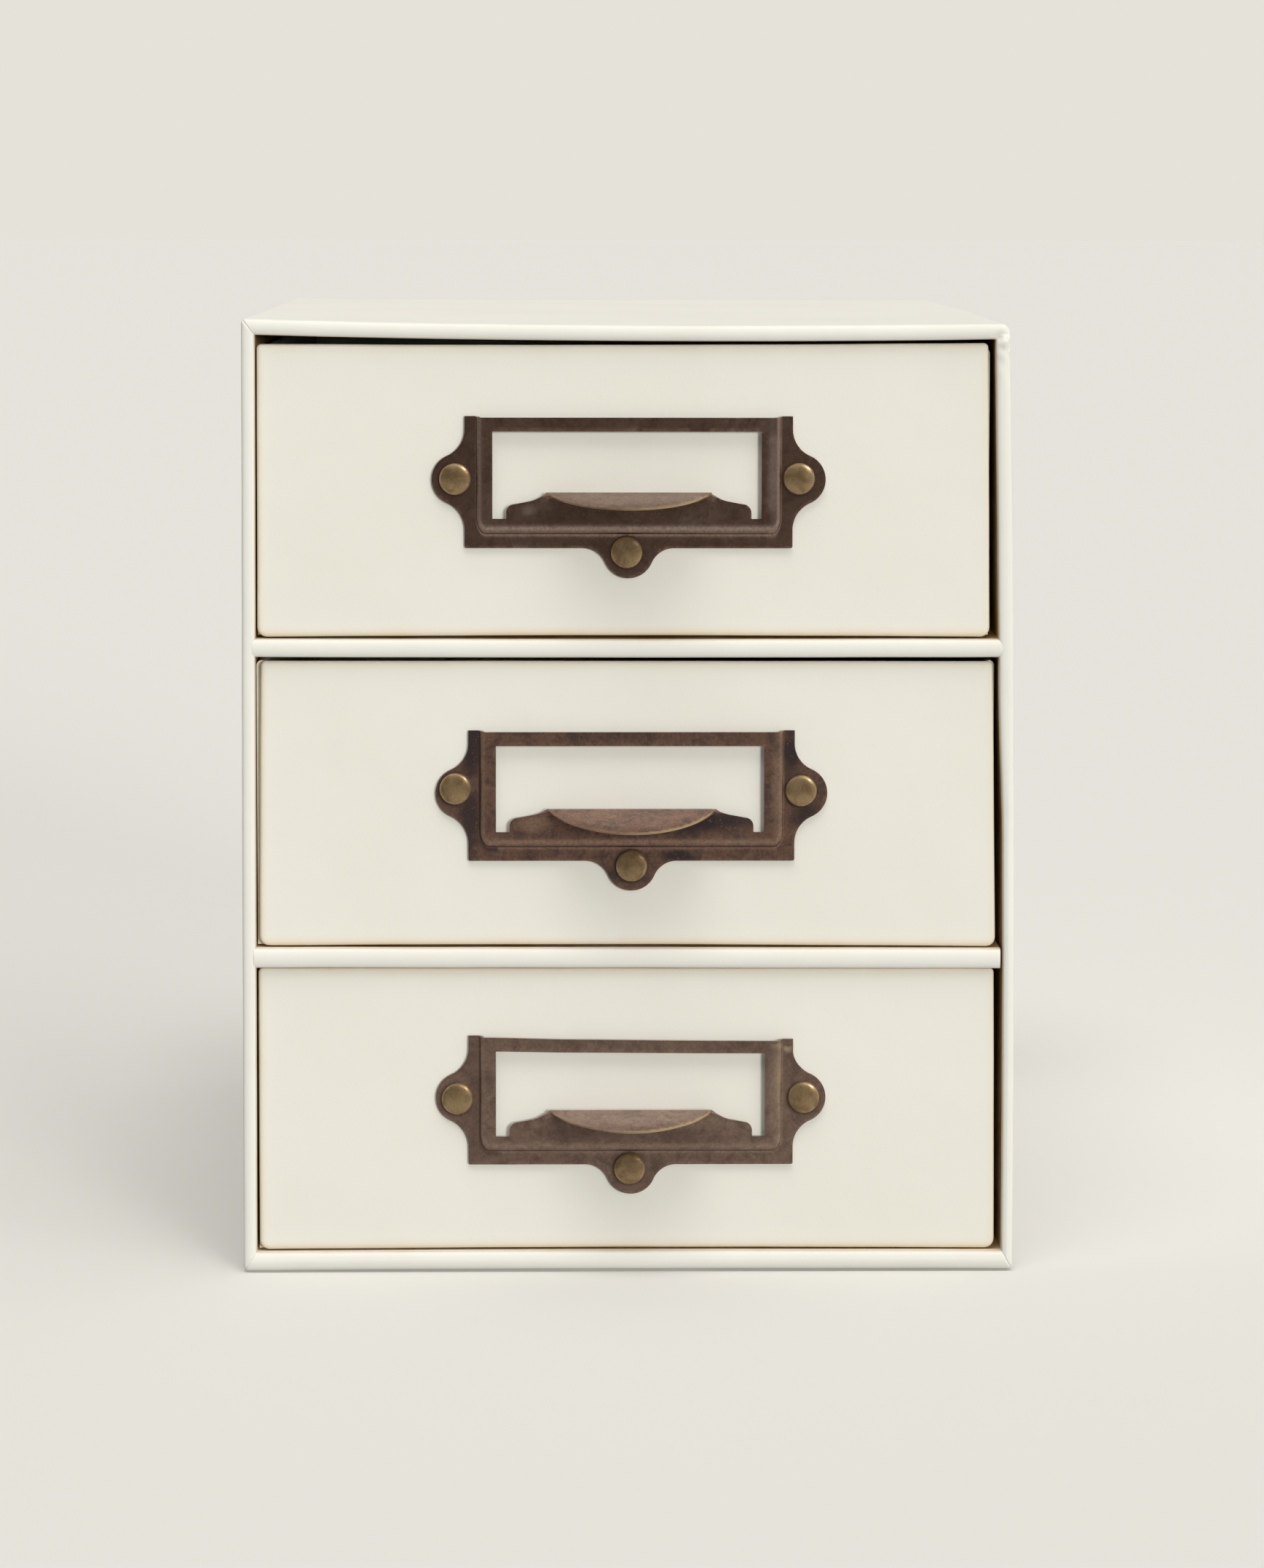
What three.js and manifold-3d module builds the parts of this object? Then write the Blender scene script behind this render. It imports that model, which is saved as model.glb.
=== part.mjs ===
// A small desktop chest of three drawers of one size, made of board wrapped in paper. Each drawer has a pressed
// metal label holder whose bent lip is the pull, held on by three double-cap rivets.
// Millimetres. +Z is up, the drawers open towards -Y, and the origin is the middle of the base's underside.

import * as THREE from "three";
import { mergeVertices } from "three/addons/utils/BufferGeometryUtils.js";
import Module from "manifold-3d";

// Case
const CASE_WIDTH = 175;
const CASE_DEPTH = 240;
const OPENING_HEIGHTS = [66, 66.4, 67.5]; // lower, middle and upper, as hand gluing leaves them
const SIDE_BOARD = 3;
const TOP_BOARD = 3.5;
const SHELF_BOARD = 4;
const BASE_BOARD = 4.6;
const BACK_BOARD = 3;
const SIDE_NOSE = 1.2; // radius of the front edge of a side board
const SHELF_NOSE = 1.6; // and of a level one
const GLUE_LINE = 0.1; // between two boards that are glued together

// Drawers, as trays of five boards
const DRAWER_NAMES = ["lower", "middle", "upper"];
const DRAWER_WIDTH = 166.5;
const DRAWER_HEIGHT = 64.9;
const DRAWER_SETBACK = 1.8; // the drawer's face behind the case's front rim
const DRAWER_BACK_GAP = 2.2;
const DRAWER_FLOOR_GAP = 0.3;
const DRAWER_OFFSET = -0.45; // they lie a little to the left in their openings
const DRAWER_BOARD = 2.2;
const FRONT_TOP_CORNER = 0.8;
const FRONT_BOTTOM_CORNER = 2;

// Label holder: x from its middle, heights from the top of its flange, depths from the drawer's face
const SHEET = 0.8;
const HOLDER_OFFSET = 1; // to the right of the drawer's middle
const HOLDER_DROP = 15.6; // below the drawer's top edge
const HOLDER_GAP = 0.1;
const FLANGE_HALF_WIDTH = 37;
const FLANGE_HEIGHT = 29.6;
const RAISE = 1.9; // the front of the raised frame
const RAISED_HALF_WIDTH = 34.5;
const RAISED_BOTTOM = 27;
const RAISED_TOP = 0.3;
const RAISED_SLOPE = 1.5; // how far its side walls lean in
const WINDOW_HALF_WIDTH = 30.6;
const WINDOW_TOP = 3.4;
const WINDOW_BOTTOM = 23.3;
const SIDE_EAR = { radius: 5.9, beyond: 1.6, reach: 11.3 };
const BOTTOM_EAR = { radius: 5.6, beyond: 1.2, reach: 10.3 };

// The tab in the window and the lip bent forward from it
const TAB_HALF_WIDTH = 27.5;
const TAB_SHOULDER_RADIUS = 1.9;
const TAB_SHOULDER_HEIGHT = 19.7;
const TAB_NECK = { x: 22.4, height: 19.1 };
const TAB_SWEEP = { x: 20.8, height: 18.8 }; // what the hollow sweep up to the peak bends towards
const FOLD_HALF_WIDTH = 18.6;
const FOLD_HEIGHT = 17.4;
const BEND_RADIUS = 0.6; // on the inside of the bend
const LIP_LENGTH = 12.2;
const LIP_SLOPE = THREE.MathUtils.degToRad(15.5);

// Rivets, a domed head on a shank with a cap pressed on from inside the drawer
const RIVET_PLACES = { left: [-39, -14.2], right: [39, -14.2], bottom: [0, -31.2] };
const RIVET_HOLE_RADIUS = 1.7;
const SHANK_RADIUS = 1.4;
const HEAD_RADIUS = 3.55;
const HEAD_HEIGHT = 1.7;
const HEAD_RIM = 0.35;
const CAP_RADIUS = 3.3;
const CAP_HEIGHT = 1.5;
const CAP_RIM = 0.5;
const CAP_SOCKET = 0.9; // how deep the shank goes into the cap
const SEAT_GAP = 0.1; // under a head or a cap, and round a shank in its cap

const OPENING_FLOORS = [BASE_BOARD];
for (const height of OPENING_HEIGHTS) {
  OPENING_FLOORS.push(OPENING_FLOORS.at(-1) + height + SHELF_BOARD);
}
const TOP_UNDERSIDE = OPENING_FLOORS.pop() - SHELF_BOARD;
const CASE_HEIGHT = TOP_UNDERSIDE + TOP_BOARD;
const INNER_WIDTH = CASE_WIDTH - 2 * SIDE_BOARD;
const INNER_DEPTH = CASE_DEPTH - BACK_BOARD - GLUE_LINE;
const DRAWER_DEPTH = CASE_DEPTH - BACK_BOARD - DRAWER_SETBACK - DRAWER_BACK_GAP;

const ARC_STEPS = 8;
const ROUND_STEPS = 20;
const DOME_STEPS = 4;
const WELD_DISTANCE = 1e-4;
const CUT_PAST = 1; // how far a cutting block runs past the face that it cuts

const paper = new THREE.MeshStandardMaterial({ color: 0xe9e4d6, roughness: 0.75, metalness: 0 });
const bronze = new THREE.MeshStandardMaterial({ color: 0x4a3a30, roughness: 0.42, metalness: 0.9 });
const brass = new THREE.MeshStandardMaterial({ color: 0x7a6546, roughness: 0.38, metalness: 0.9 });

const wasm = await Module();
wasm.setup();

function solidOf(geometry) {
  const bare = geometry.clone();
  bare.deleteAttribute("normal");
  bare.deleteAttribute("uv");
  const merged = mergeVertices(bare, WELD_DISTANCE);
  const mesh = new wasm.Mesh({
    numProp: 3,
    vertProperties: merged.attributes.position.array,
    triVerts: new Uint32Array(merged.index.array),
  });
  return new wasm.Manifold(mesh);
}

function geometryOf(solid) {
  const mesh = solid.getMesh();
  const geometry = new THREE.BufferGeometry();
  geometry.setAttribute("position", new THREE.BufferAttribute(mesh.vertProperties, 3));
  geometry.setIndex(new THREE.BufferAttribute(mesh.triVerts, 1));
  geometry.computeVertexNormals();
  return geometry;
}

function named(name, geometry, material, x = 0, y = 0, z = 0) {
  const mesh = new THREE.Mesh(geometry, material);
  mesh.name = name;
  mesh.position.set(x, y, z);
  return mesh;
}

function extruded(shape, depth) {
  return new THREE.ExtrudeGeometry(shape, { depth, bevelEnabled: false, curveSegments: ARC_STEPS });
}

// A sheet drawn in x and z, lying between two depths in front of the drawer's face
function sheet(shape, from, to) {
  return extruded(shape, to - from).translate(0, 0, from).rotateX(Math.PI / 2);
}

function rectangle(x0, z0, x1, z1) {
  return new THREE.Shape([
    new THREE.Vector2(x0, z0),
    new THREE.Vector2(x1, z0),
    new THREE.Vector2(x1, z1),
    new THREE.Vector2(x0, z1),
  ]);
}

// A board's section, thickness across and depth back from its rounded front edge
function nosedSection(thickness, depth, nose) {
  const half = thickness / 2;
  const section = new THREE.Shape();
  section.moveTo(half, depth);
  section.lineTo(-half, depth);
  section.lineTo(-half, nose);
  section.absarc(nose - half, nose, nose, Math.PI, 1.5 * Math.PI, false);
  section.lineTo(half - nose, 0);
  section.absarc(half - nose, nose, nose, 1.5 * Math.PI, 2 * Math.PI, false);
  section.closePath();
  return section;
}

// An upright board, standing on z = 0 with its front edge at y = 0
function uprightBoard(thickness, depth, height, nose) {
  return extruded(nosedSection(thickness, depth, nose), height);
}

// A level board, centred on x = 0 with its underside at z = 0 and its front edge at y = 0
function levelBoard(width, depth, thickness, nose) {
  const board = extruded(nosedSection(thickness, depth, nose), width);
  return board.translate(0, 0, -width / 2).rotateY(Math.PI / 2).translate(0, 0, thickness / 2);
}

function plainBoard(width, depth, height) {
  return new THREE.BoxGeometry(width, depth, height).translate(0, depth / 2, height / 2);
}

function makeCase() {
  const group = new THREE.Group();
  const front = -CASE_DEPTH / 2;
  const sideX = (CASE_WIDTH - SIDE_BOARD) / 2;
  const levelWidth = INNER_WIDTH - 2 * GLUE_LINE;
  const side = uprightBoard(SIDE_BOARD, CASE_DEPTH, CASE_HEIGHT, SIDE_NOSE);
  const top = levelBoard(levelWidth, CASE_DEPTH, TOP_BOARD, SHELF_NOSE);
  const base = levelBoard(levelWidth, CASE_DEPTH, BASE_BOARD, SHELF_NOSE);
  const shelf = levelBoard(levelWidth, INNER_DEPTH, SHELF_BOARD, SHELF_NOSE);
  const back = plainBoard(levelWidth, BACK_BOARD, TOP_UNDERSIDE - BASE_BOARD - 2 * GLUE_LINE);
  const [, middleFloor, upperFloor] = OPENING_FLOORS;

  group.add(
    named("side_panel_left", side, paper, -sideX, front, 0),
    named("side_panel_right", side, paper, sideX, front, 0),
    named("top_panel", top, paper, 0, front, TOP_UNDERSIDE),
    named("bottom_panel", base, paper, 0, front, 0),
    named("shelf_lower", shelf, paper, 0, front, middleFloor - SHELF_BOARD),
    named("shelf_upper", shelf, paper, 0, front, upperFloor - SHELF_BOARD),
    named("back_panel", back, paper, 0, -front - BACK_BOARD, BASE_BOARD + GLUE_LINE),
  );
  return group;
}

// The drawer's front board, with its outline, its rivet holes and its face at y = 0
function frontBoard() {
  const half = DRAWER_WIDTH / 2;
  const low = FRONT_BOTTOM_CORNER;
  const high = FRONT_TOP_CORNER;
  const outline = new THREE.Shape();
  outline.moveTo(low - half, 0);
  outline.lineTo(half - low, 0);
  outline.absarc(half - low, low, low, -Math.PI / 2, 0, false);
  outline.lineTo(half, DRAWER_HEIGHT - high);
  outline.absarc(half - high, DRAWER_HEIGHT - high, high, 0, Math.PI / 2, false);
  outline.lineTo(high - half, DRAWER_HEIGHT);
  outline.absarc(high - half, DRAWER_HEIGHT - high, high, Math.PI / 2, Math.PI, false);
  outline.lineTo(-half, low);
  outline.absarc(low - half, low, low, Math.PI, 1.5 * Math.PI, false);
  const holderTop = DRAWER_HEIGHT - HOLDER_DROP;
  for (const [x, z] of Object.values(RIVET_PLACES)) {
    outline.holes.push(roundHole(x + HOLDER_OFFSET, z + holderTop));
  }
  return sheet(outline, -DRAWER_BOARD, 0);
}

function roundHole(x, z) {
  const points = [];
  for (let step = 0; step < ROUND_STEPS; step += 1) {
    const angle = (-2 * Math.PI * step) / ROUND_STEPS;
    const rim = new THREE.Vector2(Math.cos(angle), Math.sin(angle)).multiplyScalar(RIVET_HOLE_RADIUS);
    points.push(rim.add(new THREE.Vector2(x, z)));
  }
  return new THREE.Path(points);
}

// Adds an ear to an outline drawn anticlockwise. footX, footZ is the point of the edge below the ear's
// middle, and out is the direction that the ear points in. The edge sweeps out of its straight line in a
// hollow curve, round the ear, and back.
function addEar(outline, footX, footZ, out, { radius, beyond, reach }) {
  const hollow = (reach ** 2 + beyond ** 2 - radius ** 2) / (2 * (beyond + radius));
  const turn = Math.atan2(reach, hollow - beyond);
  const outX = Math.cos(out);
  const outZ = Math.sin(out);
  const hollowCentre = (side) => [
    footX + outX * hollow - outZ * reach * side,
    footZ + outZ * hollow + outX * reach * side,
  ];
  outline.lineTo(footX + outZ * reach, footZ - outX * reach);
  outline.absarc(...hollowCentre(-1), hollow, out + Math.PI, out + Math.PI - turn, true);
  outline.absarc(footX + outX * beyond, footZ + outZ * beyond, radius, out - turn, out + turn, false);
  outline.absarc(...hollowCentre(1), hollow, out + Math.PI + turn, out + Math.PI, true);
}

function flangeOutline() {
  const half = FLANGE_HALF_WIDTH;
  const earHeight = RIVET_PLACES.left[1];
  const outline = new THREE.Shape();
  outline.moveTo(half, 0);
  outline.lineTo(-half, 0);
  addEar(outline, -half, earHeight, Math.PI, SIDE_EAR);
  outline.lineTo(-half, -FLANGE_HEIGHT);
  addEar(outline, 0, -FLANGE_HEIGHT, -Math.PI / 2, BOTTOM_EAR);
  outline.lineTo(half, -FLANGE_HEIGHT);
  addEar(outline, half, earHeight, 0, SIDE_EAR);
  outline.closePath();
  for (const [x, z] of Object.values(RIVET_PLACES)) {
    outline.holes.push(roundHole(x, z));
  }
  return outline;
}

// A block between two depths whose sides and underside lean in towards the front
function leaningBlock(halfWidth, top, bottom, from, to, lean) {
  const block = new THREE.BoxGeometry(2 * halfWidth, to - from, bottom - top);
  const position = block.attributes.position;
  for (let i = 0; i < position.count; i += 1) {
    if (position.getY(i) < 0) {
      position.setX(i, position.getX(i) - Math.sign(position.getX(i)) * lean);
      position.setZ(i, position.getZ(i) + (position.getZ(i) < 0 ? lean : 0));
    }
  }
  return block.translate(0, -(from + to) / 2, -(top + bottom) / 2);
}

function tabOutline() {
  const foot = TAB_HALF_WIDTH;
  const round = TAB_SHOULDER_RADIUS;
  const below = WINDOW_BOTTOM + SHEET;
  const shoulder = -TAB_SHOULDER_HEIGHT;
  const neck = TAB_NECK;
  const peak = FOLD_HALF_WIDTH;
  const outline = new THREE.Shape();
  outline.moveTo(-foot, -below);
  outline.lineTo(foot, -below);
  outline.lineTo(foot, shoulder - round);
  outline.absarc(foot - round, shoulder - round, round, 0, Math.PI / 2, false);
  outline.lineTo(neck.x, -neck.height);
  outline.quadraticCurveTo(TAB_SWEEP.x, -TAB_SWEEP.height, peak, -FOLD_HEIGHT);
  outline.lineTo(peak, -FOLD_HEIGHT - BEND_RADIUS - SHEET);
  outline.lineTo(-peak, -FOLD_HEIGHT - BEND_RADIUS - SHEET);
  outline.lineTo(-peak, -FOLD_HEIGHT);
  outline.quadraticCurveTo(-TAB_SWEEP.x, -TAB_SWEEP.height, -neck.x, -neck.height);
  outline.lineTo(round - foot, shoulder);
  outline.absarc(round - foot, shoulder - round, round, Math.PI / 2, Math.PI, false);
  outline.closePath();
  return outline;
}

// The bent strip, drawn as depth and height, running the length of the fold
function bentStrip() {
  const outer = BEND_RADIUS + SHEET;
  const centreDepth = RAISE + BEND_RADIUS;
  const centreHeight = -FOLD_HEIGHT - outer;
  const foot = centreHeight - SHEET;
  const end = Math.PI / 2 - LIP_SLOPE;
  const tip = (radius) => [
    centreDepth + radius * Math.cos(end) + LIP_LENGTH * Math.cos(LIP_SLOPE),
    centreHeight + radius * Math.sin(end) - LIP_LENGTH * Math.sin(LIP_SLOPE),
  ];
  const profile = new THREE.Shape();
  profile.moveTo(RAISE, foot);
  profile.absarc(centreDepth, centreHeight, BEND_RADIUS, Math.PI, end, true);
  profile.lineTo(...tip(BEND_RADIUS));
  profile.lineTo(...tip(outer));
  profile.absarc(centreDepth, centreHeight, outer, end, Math.PI, false);
  profile.lineTo(RAISE - SHEET, foot);
  profile.closePath();
  const strip = extruded(profile, 2 * FOLD_HALF_WIDTH).translate(0, 0, -FOLD_HALF_WIDTH);
  const toFront = new THREE.Matrix4().makeBasis(
    new THREE.Vector3(0, -1, 0),
    new THREE.Vector3(0, 0, 1),
    new THREE.Vector3(-1, 0, 0),
  );
  return strip.applyMatrix4(toFront);
}

// What the lip is cut to: straight behind the fold, and one arc in front of it
function lipCutter() {
  const half = FOLD_HALF_WIDTH;
  const reach = BEND_RADIUS + LIP_LENGTH * Math.cos(LIP_SLOPE);
  const radius = (half ** 2 + reach ** 2) / (2 * reach);
  const swing = Math.asin(half / radius);
  const outline = new THREE.Shape();
  outline.moveTo(-half, 0);
  outline.lineTo(-half, -RAISE);
  outline.absarc(0, radius - reach - RAISE, radius, -Math.PI / 2 - swing, -Math.PI / 2 + swing, false);
  outline.lineTo(half, 0);
  outline.closePath();
  const cutter = new THREE.ExtrudeGeometry(outline, {
    depth: FLANGE_HEIGHT,
    bevelEnabled: false,
    curveSegments: 3 * ARC_STEPS,
  });
  return cutter.translate(0, 0, -FLANGE_HEIGHT);
}

function holderGeometry() {
  const back = RAISE - SHEET;
  const raised = leaningBlock(RAISED_HALF_WIDTH, RAISED_TOP, RAISED_BOTTOM, 0, RAISE, RAISED_SLOPE);
  const hollow = leaningBlock(
    RAISED_HALF_WIDTH - SHEET, -CUT_PAST, RAISED_BOTTOM - SHEET, -CUT_PAST, back, RAISED_SLOPE,
  );
  const window = sheet(
    rectangle(-WINDOW_HALF_WIDTH, -WINDOW_BOTTOM, WINDOW_HALF_WIDTH, -WINDOW_TOP),
    back - CUT_PAST,
    RAISE + CUT_PAST,
  );
  const lip = solidOf(bentStrip()).intersect(solidOf(lipCutter()));
  const holder = solidOf(sheet(flangeOutline(), 0, SHEET))
    .add(solidOf(raised))
    .subtract(solidOf(hollow))
    .subtract(solidOf(window))
    .add(solidOf(sheet(tabOutline(), back, RAISE)))
    .add(lip);
  return geometryOf(holder);
}

// A domed button on the axis y: its flat rim at rimY, its crown height further along towards `side`
function domePoints(radius, height, rim, rimY, side) {
  const points = [];
  for (let step = 0; step <= DOME_STEPS; step += 1) {
    const angle = (step / DOME_STEPS) * (Math.PI / 2);
    const along = rim + (height - rim) * Math.sin(angle);
    points.push(new THREE.Vector2(radius * Math.cos(angle), rimY + side * along));
  }
  points[points.length - 1].x = 0;
  return points;
}

// Head and shank, the head's underside at y = 0 and its dome towards -Y
function rivetGeometry(shankLength) {
  const dome = domePoints(HEAD_RADIUS, HEAD_HEIGHT, HEAD_RIM, 0, -1).reverse();
  const points = [
    ...dome,
    new THREE.Vector2(HEAD_RADIUS, 0),
    new THREE.Vector2(SHANK_RADIUS, 0),
    new THREE.Vector2(SHANK_RADIUS, shankLength),
    new THREE.Vector2(0, shankLength),
  ];
  return new THREE.LatheGeometry(points, ROUND_STEPS);
}

// The inside cap, its flat side at y = 0 with the shank's socket in it, and its dome towards +Y
function capGeometry() {
  const socketRadius = SHANK_RADIUS + SEAT_GAP;
  const points = [
    new THREE.Vector2(0, CAP_SOCKET + SEAT_GAP),
    new THREE.Vector2(socketRadius, CAP_SOCKET + SEAT_GAP),
    new THREE.Vector2(socketRadius, 0),
    new THREE.Vector2(CAP_RADIUS, 0),
    ...domePoints(CAP_RADIUS, CAP_HEIGHT, CAP_RIM, 0, 1),
  ];
  return new THREE.LatheGeometry(points, ROUND_STEPS);
}

const boards = {
  front: frontBoard(),
  back: plainBoard(DRAWER_WIDTH, DRAWER_BOARD, DRAWER_HEIGHT),
  side: plainBoard(DRAWER_BOARD, DRAWER_DEPTH - 2 * (DRAWER_BOARD + GLUE_LINE), DRAWER_HEIGHT),
  floor: plainBoard(
    DRAWER_WIDTH - 2 * (DRAWER_BOARD + GLUE_LINE),
    DRAWER_DEPTH - 2 * (DRAWER_BOARD + GLUE_LINE),
    DRAWER_BOARD,
  ),
};
const holder = holderGeometry();
const shankLength = SEAT_GAP + SHEET + HOLDER_GAP + DRAWER_BOARD + SEAT_GAP + CAP_SOCKET;
const rivet = rivetGeometry(shankLength);
const cap = capGeometry();

// A drawer, in a frame whose origin is the middle of its face's bottom edge
function makeDrawer(name) {
  const group = new THREE.Group();
  const inside = DRAWER_BOARD + GLUE_LINE;
  const sideX = (DRAWER_WIDTH - DRAWER_BOARD) / 2;
  const holderTop = DRAWER_HEIGHT - HOLDER_DROP;
  group.add(
    named(`${name}_drawer_front`, boards.front, paper),
    named(`${name}_drawer_back`, boards.back, paper, 0, DRAWER_DEPTH - DRAWER_BOARD, 0),
    named(`${name}_drawer_side_left`, boards.side, paper, -sideX, inside, 0),
    named(`${name}_drawer_side_right`, boards.side, paper, sideX, inside, 0),
    named(`${name}_drawer_floor`, boards.floor, paper, 0, inside, 0),
    named(`${name}_label_holder`, holder, bronze, HOLDER_OFFSET, -HOLDER_GAP, holderTop),
  );
  const headSeat = -HOLDER_GAP - SHEET - SEAT_GAP;
  const capSeat = DRAWER_BOARD + SEAT_GAP;
  for (const [place, [x, z]] of Object.entries(RIVET_PLACES)) {
    group.add(
      named(`${name}_rivet_${place}`, rivet, brass, HOLDER_OFFSET + x, headSeat, holderTop + z),
      named(`${name}_rivet_cap_${place}`, cap, brass, HOLDER_OFFSET + x, capSeat, holderTop + z),
    );
  }
  return group;
}

const chest = new THREE.Group();
chest.add(makeCase());
DRAWER_NAMES.forEach((name, level) => {
  const drawer = makeDrawer(name);
  const underside = OPENING_FLOORS[level] + DRAWER_FLOOR_GAP;
  drawer.position.set(DRAWER_OFFSET, DRAWER_SETBACK - CASE_DEPTH / 2, underside);
  chest.add(drawer);
});

export default chest;
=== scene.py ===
from math import acos, asin, atan2, ceil, copysign, cos, exp, hypot, pi, radians, sin, sqrt

import bmesh
import bpy
import numpy as np
from mathutils import Matrix, Vector, noise
from mathutils.geometry import delaunay_2d_cdt


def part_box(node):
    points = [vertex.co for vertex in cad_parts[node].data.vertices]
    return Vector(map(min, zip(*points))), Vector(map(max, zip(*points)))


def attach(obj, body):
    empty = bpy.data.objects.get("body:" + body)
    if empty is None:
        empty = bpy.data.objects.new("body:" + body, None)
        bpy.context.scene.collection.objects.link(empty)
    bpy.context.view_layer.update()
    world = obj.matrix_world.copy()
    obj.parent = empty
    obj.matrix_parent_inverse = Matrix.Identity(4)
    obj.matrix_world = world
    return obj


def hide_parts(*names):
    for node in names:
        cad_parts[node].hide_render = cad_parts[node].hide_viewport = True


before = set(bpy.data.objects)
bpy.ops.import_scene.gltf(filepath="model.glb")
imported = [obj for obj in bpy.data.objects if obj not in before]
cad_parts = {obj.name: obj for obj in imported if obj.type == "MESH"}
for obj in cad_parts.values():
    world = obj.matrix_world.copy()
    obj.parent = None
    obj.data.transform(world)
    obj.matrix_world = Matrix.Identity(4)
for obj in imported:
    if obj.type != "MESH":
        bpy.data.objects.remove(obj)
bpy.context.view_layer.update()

# A small desktop chest of three drawers: board wrapped in ivory paper, with pressed bronze label holders.
# Sizes are in mm, in the shared frame, and each mesh is scaled to metres when it is made.

MM = 0.001
scene = bpy.context.scene

DRAWERS = ("lower", "middle", "upper")
RIVETS = ("left", "right", "bottom")

# ---- sizes of the case

HALF_WIDTH = 87.5
HALF_HEIGHT = 108
SIDE_NOSE = 1.4  # how far back the rounding of the front edge reaches at the sides
LEVEL_NOSE = 1.5  # and at the top, the base and the shelves
NOSE_STEPS = 14
CASE_NOSE_POWER = 0.6  # 1 would be a half circle, and less is blunter
SHELF_NOSE_POWER = 0.55
BACK_EDGE = 0.7
# Where there are four corners, they run from the bottom left anticlockwise
CASE_CORNERS = (0.9, 0.9, 2.1, 0.8)  # outer radii
OPENING_CORNER = 0.3

# How its front strays from straight. Upwards and to the right count as more.
TOP_SAG = -0.92  # lift of the top's middle
TOP_TILT = -0.4  # lift of the top's right end, and drop of its left end
BASE_BOW = 0.25  # lift of the base's middle
BASE_TRIM = 0.4  # lift of the base's underside
LEFT_WALL = (0.65, -0.05, 0.3)  # shift, how much more of it halfway up, and lean from there to the ends
RIGHT_WALL = (-0.85, 0.65, -1.2)
RIGHT_SWELL = 0.42  # further shift of the right wall's inside
RIGHT_TOP_SWELL = -0.72  # and in its upper part, where the paper is doubled
BEND_LEFT_AT_BACK = 0.2  # share of all this that reaches the back
WALL_WAVES = ((0.16, 55), (0.05, 14))  # waves are pairs: height, and how wide a bump is
INSIDE_CALM = 0.35  # share of the waves on the inside
RIM_WAVES = ((0.08, 9),)

# The paper's folds at the case's corners
MITRE_DEPTHS = (0.22, 0.2, 0.12, 0.3)
CRUMPLE_MIDDLE = (85.5, 210)
CRUMPLE_RADIUS = 5  # across; it is twice as tall
CRUMPLE_WAVES = ((0.95, 2.1), (0.45, 0.9))
NOTCH_MIDDLE = (-86.9, 215.3)
NOTCH_RADIUS = 0.7
NOTCH_DEPTH = 0.5

BACK_SHEET_MARGINS = (2.4, 3.2)  # how much wider and taller than the back board its paper is
BACK_SHEET = 0.3
BACK_SHEET_SHIFT = (0.3, 0.25)  # to the right, and behind the board
SHELF_ROUGHNESS = 25  # how far back a shelf's unevenness reaches
# Seed, lift of the front edge's middle and of its right end, how much lower it lies, extra paper underneath
SHELVES = {
    "lower": (21, 0.05, -0.17, 0.3, 0.55),
    "upper": (24, -0.1, 0.0, 0.4, 0.1),
}

# ---- sizes of the drawers

BOARD = 2.2
FRONT_EDGE = 1.0
FRONT_CORNERS = (2.2, 2.2, 1.1, 1.1)
# Bow, rise of the right end and shift upwards, each of the top and of the bottom edge; then how far the left
# and the right edge are shifted to the right, each at the bottom and at the top
FRONT_SHAPES = {
    "lower": ((0.0, 0.35), (-0.1, 0.0), (-0.2, 0.0), (0.15, 0.15), (0.95, 0.4)),
    "middle": ((0.0, 0.35), (-0.05, -0.2), (-0.3, -0.3), (0.45, 1.0), (0.65, -0.4)),
    "upper": ((-0.3, 0.35), (0.2, 0.0), (0.8, -0.35), (0.3, 0.45), (-1.2, -2.0)),
}
FACE_WAVES = ((0.14, 60), (0.03, 15))
TRAY_SHIFTS = {"lower": (0.0, 0.0), "middle": (0.0, 0.0), "upper": (0.3, -1.5)}  # left and right wall
TRAY_DROP = 0.3  # the walls are that much lower than the face
TRAY_OUTER_ROUND = 1.6
TRAY_INNER_ROUND = 0.6
TRAY_RIM = 1.1
CORNER_STEPS = 8

# ---- sizes of the label holders and rivets
# x counts from the middle, and z or a height from the top edge of the flange

SHEET = 0.8
HOLDER_GAP = 0.1  # between the flange and the drawer's face
HOLDER_SHIFTS = {"lower": (0.25, 0.1), "middle": (0.3, -0.3), "upper": (-0.45, 0.15)}  # put on by hand
HOLDER_WAVES = ((0.05, 9), (0.03, 4))
FLANGE_HALF_WIDTH = 36.8
FLANGE_HEIGHT = 29.6
FLANGE_CORNER = 0.4
RAISE = 1.9  # from the flange's back to the raised frame's front
RAISED_HALF_WIDTH = 34.5
RAISED_BOTTOM = 27.5
RAISED_CORNER = 2.4
RAISED_TOP = 0.3  # how far down its top edge lies
RAMP = 1.5  # how wide the ramp is at the sides
# Shares of the ramp's width at which the mesh has lines along it
RAMP_STEPS = (-0.12, 0.0, 0.12, 0.24, 0.34, 0.4, 0.435, 0.47, 0.505, 0.54, 0.6, 0.7, 0.82, 0.94, 1.06)
RAMP_SQUEEZE = 0.48  # at the bottom it is wider: there, heights count for this share
WINDOW_LEFT = -30.6
WINDOW_RIGHT = {"lower": 30.4, "middle": 29.9, "upper": 29.8}
WINDOW_TOP = 3.4
WINDOW_BOTTOM = 23.0
SIDE_EAR = (5.8, 1.6, 11.3)  # radius, how far its middle lies beyond the edge, half the width of its foot
BOTTOM_EAR = (5.6, 1.2, 10.3)
TAB_HALF_WIDTH = 27.5
TAB_SHOULDER_RADIUS = 1.9
TAB_SHOULDER_HEIGHT = 19.7
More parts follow.
